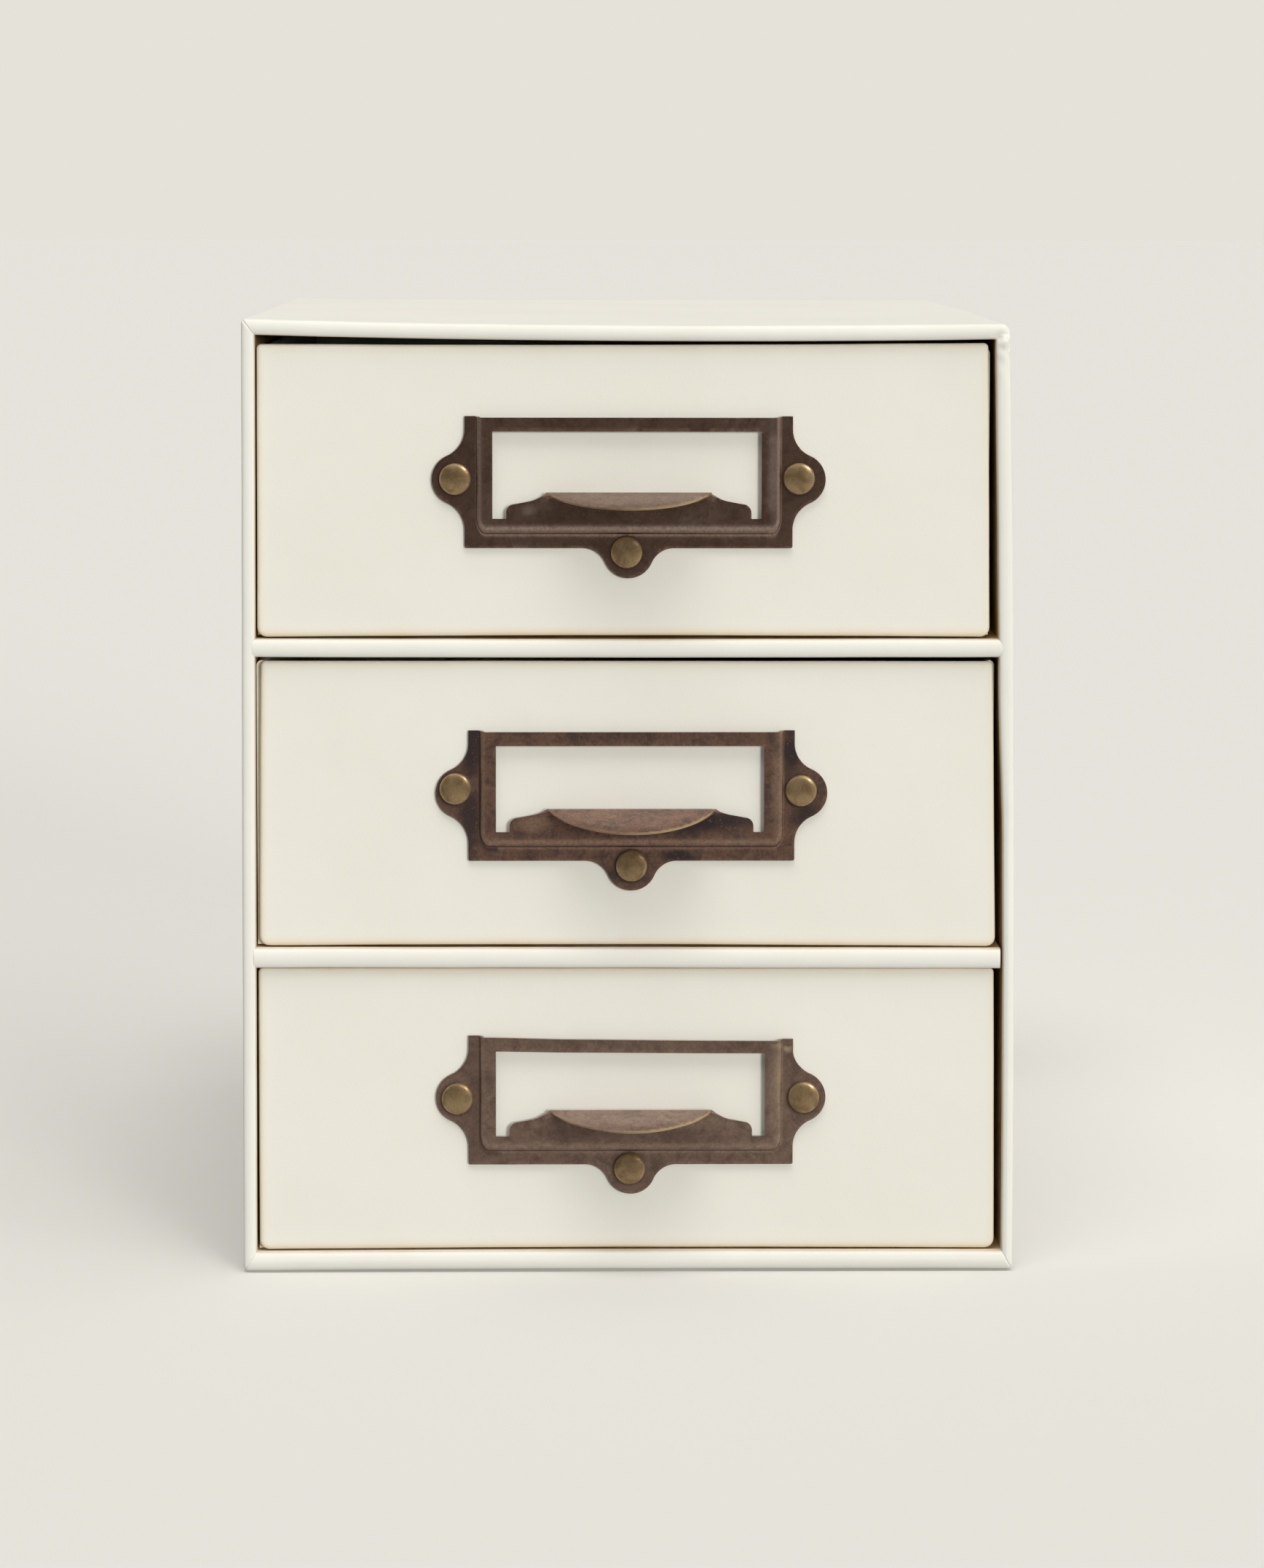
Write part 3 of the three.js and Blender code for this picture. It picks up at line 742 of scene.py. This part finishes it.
def tray_path(x0, x1, y0, y1):
    """Pairs of an outer and an inner point, from the front of a tray's left wall round to the right one's."""
    left = []
    inner_end = y1 - BOARD - TRAY_INNER_ROUND - 0.5
    for place in spaced(y1 - y0 - TRAY_OUTER_ROUND, 1.2, 12.0)[:-1]:
        y = y0 + place
        left.append(((x0, y), (x0 + BOARD, min(y, inner_end))))
    for step in range(CORNER_STEPS + 1):
        angle = radians(180 - 90 * step / CORNER_STEPS)
        pair = []
        for depth, radius in ((0, TRAY_OUTER_ROUND), (BOARD, TRAY_INNER_ROUND)):
            middle = depth + radius
            pair.append((x0 + middle + radius * cos(angle), y1 - middle + radius * sin(angle)))
        left.append(pair)
    back = []
    width = x1 - x0 - 2 * TRAY_OUTER_ROUND
    inner_width = x1 - x0 - 2 * (BOARD + TRAY_INNER_ROUND)
    for place in spaced(width, 1.2, 12.0)[1:-1]:
        inner_x = x0 + BOARD + TRAY_INNER_ROUND + inner_width * place / width
        back.append(((x0 + TRAY_OUTER_ROUND + place, y1), (inner_x, y1 - BOARD)))
    right = [[(x0 + x1 - x, y) for x, y in pair] for pair in reversed(left)]
    return left + back + right


def make_drawer_tray(drawer, material, seed):
    """The sides and back as one wall wrapped in paper, with a rounded rim and rounded back corners."""
    left_low, left_high = node_box(drawer + "_drawer_side_left")
    _, right_high = node_box(drawer + "_drawer_side_right")
    _, back_high = node_box(drawer + "_drawer_back")
    left_shift, right_shift = TRAY_SHIFTS[drawer]
    height = left_high.z - left_low.z - TRAY_DROP
    heights = spaced(height - TRAY_RIM, 1.0, 12.0)
    rows = []
    left, right = left_low.x + left_shift, right_high.x + right_shift
    for outer, inner in tray_path(left, right, left_low.y, back_high.y):
        row = []

        def add(share, z, tint):
            x = outer[0] + (inner[0] - outer[0]) * share
            y = outer[1] + (inner[1] - outer[1]) * share
            loose = rise(z, 0, height)
            sway = waves(x, y, z, seed, ((0.05, 50),)) * loose
            lift = waves(x, y, 0, seed + 1, ((0.12, 35),)) * loose
            row.append((x + sway, y, left_low.z + z + lift, tint))

        # Painted warm shade low on the outside and down inside where the walls meet the floor; the rim a
        # little warm all along.
        for z in heights:
            add(0.0, z, 0.35 * rise(z, 5, 0))
        for step in range(1, 10):
            angle = pi * step / 10
            add((1 - cos(angle)) / 2, height - TRAY_RIM * (1 - sin(angle)), 0.12)
        for z in reversed(heights):
            add(1.0, z, 0.35 * rise(z, BOARD + 6, BOARD))
        rows.append(row)
    return add_tube(drawer + "_drawer_tray", rows, material)


def make_drawer_floor(drawer, material, seed):
    low, high = node_box(drawer + "_drawer_floor")

    def warm_shade(x, z, inset):
        # painted warm shade near the edges, where the floor meets the walls
        return 0.4 * rise(inset, 6, 0)

    def bend(x, y, z):
        return x, y + waves(x, z, 0, seed, ((0.06, 60),)) * rise(y, BOARD, 0), z

    return make_slab(
        drawer + "_drawer_base", high.x - low.x, high.y - low.y, high.z - low.z, (0.5,) * 4, 0.3, material,
        ((low.x + high.x) / 2, (low.y + high.y) / 2, high.z), turn=Matrix.Rotation(radians(-90), 4, "X"),
        bend=bend, warm_shade=warm_shade, coarse=12.0,
    )


# ---- label holder

def arc(x, z, radius, start, end, step=0.45):
    """Points along an arc, angles in radians; its ends are included."""
    count = max(3, ceil(abs(end - start) * radius / step))
    angles = [start + (end - start) * i / count for i in range(count + 1)]
    return [(x + radius * cos(a), z + radius * sin(a)) for a in angles]


def ear(foot_x, foot_z, out, shape):
    """The edge where it sweeps out of its line in a hollow curve, round an ear and back; out is the angle of
    the ear's direction."""
    radius, beyond, reach = shape
    hollow = (reach ** 2 + beyond ** 2 - radius ** 2) / (2 * (beyond + radius))
    turn = atan2(reach, hollow - beyond)
    out_x, out_z = cos(out), sin(out)

    def hollow_arc(side, start, end):
        x = foot_x + out_x * hollow - out_z * reach * side
        z = foot_z + out_z * hollow + out_x * reach * side
        return arc(x, z, hollow, start, end)

    points = hollow_arc(-1, out + pi, out + pi - turn)
    points += arc(foot_x + out_x * beyond, foot_z + out_z * beyond, radius, out - turn, out + turn)
    points += hollow_arc(1, out + pi + turn, out + pi)
    return points


def divided(points):
    """A closed line with extra points, so that none lie further apart than EDGE_STEP, and without repeats."""
    result = []
    for (x0, z0), (x1, z1) in zip(points, points[1:] + points[:1]):
        length = hypot(x1 - x0, z1 - z0)
        if length < 0.02:
            continue
        count = max(1, ceil(length / EDGE_STEP))
        result += [(x0 + (x1 - x0) * i / count, z0 + (z1 - z0) * i / count) for i in range(count)]
    return result


def flange_outline():
    half, foot, corner = FLANGE_HALF_WIDTH, RAISED_HALF_WIDTH, FLANGE_CORNER
    ear_height = RIVET_PLACES["left"][1]
    points = [(half, 0), (foot, 0)]
    points += [(foot - RAMP * i / 6, -RAISED_TOP * i / 6) for i in range(1, 7)]
    points += [(RAMP - foot - RAMP * i / 6, -RAISED_TOP * (1 - i / 6)) for i in range(7)]
    points += [(-half, 0)]
    points += ear(-half, ear_height, pi, SIDE_EAR)
    points += arc(corner - half, corner - FLANGE_HEIGHT, corner, pi, 1.5 * pi, 0.2)
    points += ear(0, -FLANGE_HEIGHT, -pi / 2, BOTTOM_EAR)
    points += arc(half - corner, corner - FLANGE_HEIGHT, corner, -pi / 2, 0, 0.2)
    points += ear(half, ear_height, 0, SIDE_EAR)
    return divided(points)


class Lip:
    """The lip in the flat sheet and as bent: v is the distance up the sheet from where the bend starts."""

    def __init__(self, half_width, height, slope):
        self.half_width = half_width
        self.slope = radians(slope)
        self.middle = BEND_RADIUS + SHEET / 2
        self.start = -height - BEND_RADIUS - SHEET
        self.turn = pi / 2 + self.slope
        self.bend_length = self.middle * self.turn
        self.reach = BEND_RADIUS + LIP_LENGTH * cos(self.slope)
        self.radius = (half_width ** 2 + self.reach ** 2) / (2 * self.reach)

    def bent(self, v):
        """(how far forward of the raised frame's front, height) at v."""
        angle = min(v / self.middle, self.turn)
        beyond = max(0.0, v - self.bend_length)
        forward = BEND_RADIUS - self.middle * cos(angle) + beyond * cos(self.slope)
        return forward, self.start + self.middle * sin(angle) - beyond * sin(self.slope)

    def flat(self, forward):
        """The v of the point that ends up that far forward."""
        bend_end = BEND_RADIUS - self.middle * cos(self.turn)
        if forward <= bend_end:
            return self.middle * acos((BEND_RADIUS - forward) / self.middle)
        return self.bend_length + (forward - bend_end) / cos(self.slope)

    def outline(self):
        """Its edge in the flat sheet, from the right end of the fold to the left."""
        swing = asin(self.half_width / self.radius)
        points = []
        for i in range(97):
            angle = swing * (1 - i / 48)
            forward = self.reach - self.radius + self.radius * cos(angle)
            points.append((self.radius * sin(angle), self.start + self.flat(max(0.0, forward))))
        return points


def window_outline(lip, right):
    """The window's edge with the tab and the flat lip standing in it, clockwise."""
    left, top, bottom = WINDOW_LEFT, -WINDOW_TOP, -WINDOW_BOTTOM
    foot, small = TAB_HALF_WIDTH, TAB_SHOULDER_RADIUS
    shoulder = -TAB_SHOULDER_HEIGHT
    lip_edge = lip.outline()
    peak = lip_edge[0]
    side = [(foot, bottom)] + arc(foot - small, shoulder - small, small, 0, pi / 2, 0.35) + [TAB_NECK]
    for i in range(1, 9):
        t = i / 9
        side.append(tuple(
            (1 - t) ** 2 * a + 2 * t * (1 - t) * b + t ** 2 * c for a, b, c in zip(TAB_NECK, TAB_SWEEP, peak)
        ))
    mirrored = [(-x, z) for x, z in reversed(side)]
    frame_edge = [(left, bottom), (left, top), (right, top), (right, bottom)]
    return divided(frame_edge + side + lip_edge + mirrored)


def within(polygon, points):
    """Which of the points lie inside a closed line."""
    x, z = points[:, 0], points[:, 1]
    result = np.zeros(len(points), bool)
    corners = np.array(polygon)
    for (x0, z0), (x1, z1) in zip(corners, np.roll(corners, -1, axis=0)):
        if z0 == z1:
            continue
        crosses = (z0 > z) != (z1 > z)
        result ^= crosses & (x < (x1 - x0) * (z - z0) / (z1 - z0) + x0)
    return result


def edge_distance(polygon, points):
    """The distance from each point to a closed line."""
    start = np.array(polygon)
    edge = np.roll(start, -1, axis=0) - start
    length = (edge ** 2).sum(1)
    best = np.full(len(points), 1e9)
    for a, d, total in zip(start, edge, length):
        t = np.clip(((points - a) @ d) / total, 0, 1)
        best = np.minimum(best, np.hypot(*(points - a - t[:, None] * d).T))
    return best


def in_sheet(loops, points):
    """Which of the points lie in the sheet: inside its outline, the first loop, and in none of its holes."""
    result = within(loops[0], points)
    for hole in loops[1:]:
        result &= ~within(hole, points)
    return result


def clearance(loops, points):
    """The distance from each point to the nearest edge."""
    return np.min([edge_distance(loop, points) for loop in loops], axis=0)


def raised_inset(x, z):
    """How far inside the foot of the raised frame's ramp a point is. The frame is open at the top."""
    off_x = abs(x) - (RAISED_HALF_WIDTH - RAISED_CORNER)
    off_z = (-z - RAISED_BOTTOM) * RAMP_SQUEEZE + RAISED_CORNER
    outside = hypot(max(off_x, 0), max(off_z, 0)) + min(max(off_x, off_z), 0)
    return RAISED_CORNER - outside


def ramp_rise(inset):
    """The share of the frame's height: softly rolled at the foot and the brow, steep between them."""
    share = inset / RAMP
    return 0.5 * rise(share, 0, 1) + 0.5 * rise(share, 0.4, 0.54)


def ramp_lines():
    """Lines round the raised frame at even steps up its ramp."""
    lines = []
    for share in RAMP_STEPS:
        inset = RAMP * share
        half, radius = RAISED_HALF_WIDTH - inset, RAISED_CORNER - inset
        bottom = RAISED_BOTTOM - inset / RAMP_SQUEEZE
        tall = radius / RAMP_SQUEEZE
        down = [(-half, -0.6 - EDGE_STEP * k) for k in range(int((bottom - tall - 0.6) / EDGE_STEP))]
        turn = [
            (radius - half + x, tall - bottom + z / RAMP_SQUEEZE)
            for x, z in arc(0, 0, radius, pi, 1.5 * pi, 0.3)
        ]
        across = int((half - radius) / EDGE_STEP)
        level = [((radius - half) * (1 - k / across), -bottom) for k in range(1, across)]
        side = down + turn + level
        lines.append(side + [(0, -bottom)] + [(-x, z) for x, z in reversed(side)])
    return lines


def rivet_middle(drawer, place):
    return tuple(a + b for a, b in zip(RIVET_PLACES[place], RIVET_STRAYS[drawer][place]))


def mesh_lines(drawer, lip):
    """Lines that the holder's mesh follows: up the ramp, round the rivets and across the bend."""
    lines = ramp_lines()
    for place in RIVETS:
        for radius in RIVET_SHADOW_RINGS:
            lines.append(arc(*rivet_middle(drawer, place), radius, 0, 2 * pi))
    for row in range(-1, 9):
        v = lip.bend_length * row / 7
        half = lip.half_width - (1.0 if row < 3 else 1.4)
        lines.append([(-half + 2 * half * k / 44, lip.start + v) for k in range(45)])
    return lines


def mesh_grid(loops, lines):
    """Points all over the sheet, clear of its edges and of the lines."""
    xs = np.arange(-46, 46, GRID_STEP)
    zs = np.arange(-40, 1, GRID_STEP * 0.87)
    grid = np.array([(x + (GRID_STEP / 2 if row % 2 else 0), z) for row, z in enumerate(zs) for x in xs])
    grid = grid[in_sheet(loops, grid)]
    grid = grid[clearance(loops, grid) > 0.4]
    placed = np.array([p for points in lines for p in points])
    gaps = np.array([np.hypot(*(placed - p).T).min() for p in grid])
    return [tuple(p) for p in grid[gaps > 0.45]]


def flat_blank(drawer, lip):
    """The holder's flat sheet: its points, its triangles, and the edge of its window."""
    loops = [flange_outline(), window_outline(lip, WINDOW_RIGHT[drawer])]
    for place in RIVETS:
        loops.append(arc(*rivet_middle(drawer, place), RIVET_HOLE, 0, 2 * pi, 0.35)[:-1])
    lines = mesh_lines(drawer, lip)
    points, edges = [], []
    for loop in loops:
        first = len(points)
        points += loop
        edges += [(first + i, first + (i + 1) % len(loop)) for i in range(len(loop))]
    for places in lines:
        clear = in_sheet(loops, np.array(places)) & (clearance(loops, np.array(places)) > 0.2)
        previous = None
        for point, ok in zip(places, clear):
            if not ok:
                previous = None
                continue
            points.append(point)
            if previous is not None:
                edges.append((previous, len(points) - 1))
            previous = len(points) - 1
    points += mesh_grid(loops, lines)
    found, _, triangles, *_ = delaunay_2d_cdt([Vector(p) for p in points], edges, [], 0, 1e-5)
    flat = np.array([tuple(p) for p in found])
    faces = np.array([tuple(f) for f in triangles])
    faces = faces[in_sheet(loops, flat[faces].mean(1))]
    used = np.unique(faces)
    renumber = np.full(len(flat), -1)
    renumber[used] = np.arange(len(used))
    return flat[used], renumber[faces], loops[1]


def patched(patches, x, z, seed):
    """How deep in one of the soft-edged patches a point lies, 0 to 1."""
    wander = waves(x, z, 0, seed, PATCH_WAVES)
    best = 0.0
    for middle_x, middle_z, half_width, half_height, strength in patches:
        away = hypot((x - middle_x) / half_width, (z - middle_z) / half_height)
        best = max(best, strength * rise(away - wander, 1.4, 0.4))
    return best


def ramp_painted_light(inset, x, drawer):
    """Painted light on the ramp: highlights on its brow and its foot, shade in the steep step between them,
    and more shade low on the left-facing ramps of the lower and middle holders.
    """
    share = inset / RAMP
    bright, deep = RAMP_PAINTED_LIGHT[drawer]
    step = line(share, 0.47, 0.07)
    if x < -30 and drawer != "upper":
        step = max(step, line(share, 0.2, 0.2))
    return bright * max(line(share, 0.78, 0.2), 0.8 * line(share, 0.3, 0.09)) * (1 - step), deep * step


def rivet_painted_shadow(drawer, x, z):
    """A painted contact shadow round each rivet's head, deepest at its lower left."""
    deep = 0.0
    for place in RIVETS:
        middle_x, middle_z = rivet_middle(drawer, place)
        away = hypot(x - middle_x, z - middle_z)
        low_left = -(x - middle_x + z - middle_z) / max(away, RIVET_HOLE)
        deep = max(deep, line(away, RIVET_SHADOW_RADIUS, RIVET_SHADOW_WIDTH) * (0.6 + 0.3 * low_left))
    return deep


def top_sag(drawer, x, z):
    """How far the bar over the window hangs down: the lower holder's was bent in the press."""
    if drawer != "lower":
        return 0.0
    return rise(z, -8, 0) * (0.35 * rise(x, -34, -14) + 0.5 * rise(x, -30, 32))


def make_holder(drawer, material, seed):
    low, high = node_box(drawer + "_label_holder")
    front_low, _ = node_box(drawer + "_drawer_front")
    middle_x, top, face = (low.x + high.x) / 2, high.z, front_low.y
    shift_x, shift_z = HOLDER_SHIFTS[drawer]
    lip = Lip(*LIPS[drawer])
    flat, faces, window = flat_blank(drawer, lip)
    points = []
    for (x, z), from_edge in zip(flat, edge_distance(window, flat)):
        inset = raised_inset(x, z)
        bright, deep = ramp_painted_light(inset, x, drawer)
        if abs(x) < 24 and lip.start < z < -WINDOW_TOP - 0.5:
            past_bend = rise(z - lip.start, 2, 4)
            ahead, height = lip.bent(z - lip.start)
            forward = HOLDER_GAP + RAISE + ahead
            # bare metal along the lip's cut edge, with a painted highlight that makes it brighter on the
            # right
            bare_and_glint = rise(from_edge, 0.22, 0) * (0.15 + 0.6 * rise(x, -8, 6)) * past_bend
            thickness = 1 - LIP_THINNING * rise(from_edge, 2.5, 0) * past_bend
        else:
            height = z
            forward = HOLDER_GAP + SHEET / 2 + ramp_rise(inset) * (RAISE - SHEET)
            forward += waves(x, z, 0, seed, HOLDER_WAVES)
            # bare metal with painted glints, in patches
            bare_and_glint = patched(RUBBED_AND_GLINT_PATCHES[drawer], x, z, seed + 6)
            thickness = 1.0
        height -= top_sag(drawer, x, z)
        # Its tints: bare metal with painted glints; painted shade on the ramps and round the rivets, with
        # darker patina; painted highlights on the ramps, with paler spots.
        points.append((
            middle_x + shift_x + x, face - forward, top + shift_z + height, bare_and_glint,
            max(deep, rivet_painted_shadow(drawer, x, z), patched(PATINA_AND_SHADE_PATCHES[drawer], x, z, seed + 2)),
            max(bright, patched(HIGHLIGHT_AND_PALE_PATCHES[drawer], x, z, seed + 4)), thickness,
        ))
    tints = ["rubbed_and_glint", "dark", "light"]
    holder = add_object(drawer + "_label_plate", points, faces.tolist(), material, tints)
    group = holder.vertex_groups.new(name="thick")
    for index, point in enumerate(points):
        group.add([index], point[-1], "REPLACE")
    solid = holder.modifiers.new("thickness", "SOLIDIFY")
    solid.vertex_group = "thick"
    solid.thickness = SHEET * MM
    solid.offset = 0
    solid.use_even_offset = True
    bevel = holder.modifiers.new("edge", "BEVEL")
    bevel.width = 0.13 * MM
    bevel.segments = 2
    bevel.limit_method = "ANGLE"
    bevel.angle_limit = radians(55)
    bake_modifiers(holder, sharp=50)
    return holder


# ---- rivets

def lathed(name, profile, centre, side, material, seed, uneven):
    """A round piece about the axis y. profile holds (radius, how far out along `side`, how much rubbed rim
    and painted glint).
    """
    around = 56
    points, rows = [], []
    for radius, out, bare_and_glint in profile:
        row = []
        for i in range(around if radius > 0 else 1):
            angle = 2 * pi * i / around
            x, z = cos(angle), sin(angle)
            dent = waves(radius * x, radius * z, out, seed, ((uneven, 2.6),))
            size = radius * (1 + waves(x, z, 0, seed + 4, ((uneven / 4, 1.2),)))
            row.append(len(points))
            points.append((centre[0] + size * x, centre[1] + side * (out + dent), centre[2] + size * z, bare_and_glint))
        rows.append(row)
    faces = []
    for pair in zip(rows, rows[1:]):
        first, second = [row * around if len(row) == 1 else row for row in pair]
        for i in range(around):
            k = (i + 1) % around
            faces.append(tuple(dict.fromkeys((first[i], first[k], second[k], second[i]))))
    return add_object(name, points, faces, material, ["rubbed_and_glint"], sharp=45)


def dome(radius, height, rim):
    """(radius, out, rubbed rim and painted glint) from the crown to the rim's lower edge: flat on top, turned
    down at the rim.
    """
    steps = 16
    profile = [(0.0, height, 0.0)]
    for i in range(1, steps):
        angle = pi / 2 * i / steps
        out = rim + (height - rim) * cos(angle) ** 0.8
        profile.append((radius * sin(angle), out, 0.75 * rise(i / steps, 0.8, 1)))
    return profile + [(radius, rim, 0.75), (radius * 0.995, rim * 0.45, 0.5), (radius * 0.97, 0.0, 0.0)]


def rivet_centre(drawer, place, node):
    """Where a rivet's or a cap's node has its middle, moved with the holder and by the rivet's own stray."""
    low, high = node_box(node)
    shift_x, shift_z = [a + b for a, b in zip(HOLDER_SHIFTS[drawer], RIVET_STRAYS[drawer][place])]
    return low.y, high.y, (low.x + high.x) / 2 + shift_x, (low.z + high.z) / 2 + shift_z


def make_rivet(drawer, place, material, seed):
    front, back, x, z = rivet_centre(drawer, place, f"{drawer}_rivet_{place}")
    seat = front + HEAD_HEIGHT
    end, radius = seat - back, SHANK_RADIUS
    shank = [(radius + 0.05, 0.0), (radius, -0.2), (radius, end + 0.2), (radius - 0.2, end), (0.0, end)]
    profile = dome(HEAD_RADIUS, HEAD_HEIGHT, 0.4) + [(*point, 0.0) for point in shank]
    return lathed(f"{drawer}_rivet_head_{place}", profile, (x, seat, z), -1, material, seed, 0.05)


def make_cap(drawer, place, material, seed):
    seat, _, x, z = rivet_centre(drawer, place, f"{drawer}_rivet_cap_{place}")
    radius, depth = SOCKET_RADIUS, SOCKET_DEPTH
    socket = [(radius + 0.05, 0.0), (radius, 0.1), (radius, depth), (0.0, depth)]
    profile = dome(CAP_RADIUS, CAP_HEIGHT, 0.5) + [(*point, 0.0) for point in socket]
    return lathed(f"{drawer}_rivet_button_{place}", profile, (x, seat, z), 1, material, seed, 0.04)


# ---- studio

def make_floor():
    half = FLOOR_SIZE / 2 / MM
    points = [(x, y, -FLOOR_DROP) for x, y in ((-half, -half), (half, -half), (half, half), (-half, half))]
    material, tree, shader = new_material("studio_floor")
    matt = {"Base Color": (*FLOOR_TONE, 1.0), "Roughness": 0.95, "Specular IOR Level": 0.0}
    join_inputs(tree, shader, matt)
    floor = add_object("studio_floor", points, [(0, 1, 2, 3)], material)
    floor.visible_glossy = False
    floor.visible_diffuse = False


def make_room():
    """A pale room all round: brightest behind the chest, dimmer at the sides and overhead, a little brighter
    at the right, and dark in front, where the camera stands."""
    world = bpy.data.worlds.new("room")
    world.use_nodes = True
    scene.world = world
    tree = world.node_tree
    towards = add_node(tree, "TexCoord", {}, "Generated")
    x, y, z = [add_node(tree, "SeparateXYZ", {0: towards}, axis) for axis in "XYZ"]
    ahead = ranged(tree, y, 0.05, -0.5)
    around = ranged(tree, y, 0.2, 0.75, ROOM_SIDE, 1.0)
    overhead = ranged(tree, z, 0.2, 0.6)
    climb = maths(tree, "MULTIPLY", overhead, maths(tree, "SUBTRACT", ROOM_TOP, around))
    pale = maths(tree, "ADD", around, climb)
    high = ranged(tree, z, 0.5, 0.85, ROOM_FRONT, ROOM_TOP)
    low = ranged(tree, z, -0.03, -0.42, 0.0, ROOM_FRONT_LOW - ROOM_FRONT)
    front = maths(tree, "ADD", high, low)
    change = maths(tree, "MULTIPLY", ahead, maths(tree, "SUBTRACT", front, pale))
    glow = ranged(tree, x, 0.25, 0.8, 0.0, ROOM_GLOW)
    total = maths(tree, "ADD", maths(tree, "ADD", pale, change), glow)
    join_inputs(tree, tree.nodes["Background"], {"Color": linear(BACKGROUND), "Strength": total})


def make_suns():
    for name, (direction, strength, angle, lights, shows) in SUNS.items():
        light = bpy.data.lights.new(name, "SUN")
        light.energy = strength
        light.angle = radians(angle)
        light.color = LIGHT_TINT
        obj = bpy.data.objects.new(name, light)
        obj.rotation_euler = Vector(direction).to_track_quat("Z", "Y").to_euler()
        obj.visible_diffuse = lights
        obj.visible_glossy = shows
        scene.collection.objects.link(obj)


def make_camera():
    data = bpy.data.cameras.new("camera")
    data.lens = CAMERA_LENS
    data.sensor_width = 36
    data.shift_y = CAMERA_SHIFT
    camera = bpy.data.objects.new("camera", data)
    camera.location = Vector(CAMERA_PLACE) * MM
    turn = Matrix.Identity(3)
    for degrees, axis in ((-CAMERA_YAW, "Z"), (90 - CAMERA_PITCH, "X"), (CAMERA_ROLL, "Z")):
        turn = turn @ Matrix.Rotation(radians(degrees), 3, axis)
    camera.rotation_euler = turn.to_euler()
    scene.collection.objects.link(camera)
    scene.camera = camera


# ---- the whole

def build_case():
    case_paper = paper("case_paper", *CASE_PAPER)
    back_paper = paper("case_back_paper", *BACK_PAPER)
    place_piece(
        make_case_shell(case_paper), "case", "case_paper",
        "side_panel_left", "side_panel_right", "top_panel", "bottom_panel",
    )
    back, cover = make_case_back(case_paper, back_paper)
    place_piece(back, "case", "case_paper", "back_panel")
    place_piece(cover, "case", "case_paper")
    for name in SHELVES:
        place_piece(make_shelf(name, case_paper), "case", "case_paper", "shelf_" + name)


def build_drawer(drawer, seed, drawer_paper, holder_metal, rivet_metal):
    body = drawer + "_drawer"
    place_piece(make_drawer_front(drawer, drawer_paper, seed), body, "drawer_paper", body + "_front")
    place_piece(
        make_drawer_tray(drawer, drawer_paper, seed + 5), body, "drawer_paper",
        body + "_side_left", body + "_side_right", body + "_back",
    )
    place_piece(make_drawer_floor(drawer, drawer_paper, seed + 7), body, "drawer_paper", body + "_floor")
    place_piece(make_holder(drawer, holder_metal, seed + 8), body, "holder_metal", drawer + "_label_holder")
    for number, place in enumerate(RIVETS):
        rivet = make_rivet(drawer, place, rivet_metal, seed + number)
        place_piece(rivet, body, "rivet_metal", f"{drawer}_rivet_{place}")
        cap = make_cap(drawer, place, rivet_metal, seed + number + 3)
        place_piece(cap, body, "rivet_metal", f"{drawer}_rivet_cap_{place}")


def build_drawers():
    drawer_paper = paper("drawer_paper", *DRAWER_PAPER)
    rivet_metal = brass("antique_brass", *BRASS)
    for number, drawer in enumerate(DRAWERS):
        holder_metal = bronze("bronze_" + drawer, *BRONZES[drawer])
        build_drawer(drawer, 31 + 10 * number, drawer_paper, holder_metal, rivet_metal)


make_camera()
build_case()
build_drawers()
make_floor()
make_room()
make_suns()
scene.view_settings.view_transform = "Standard"
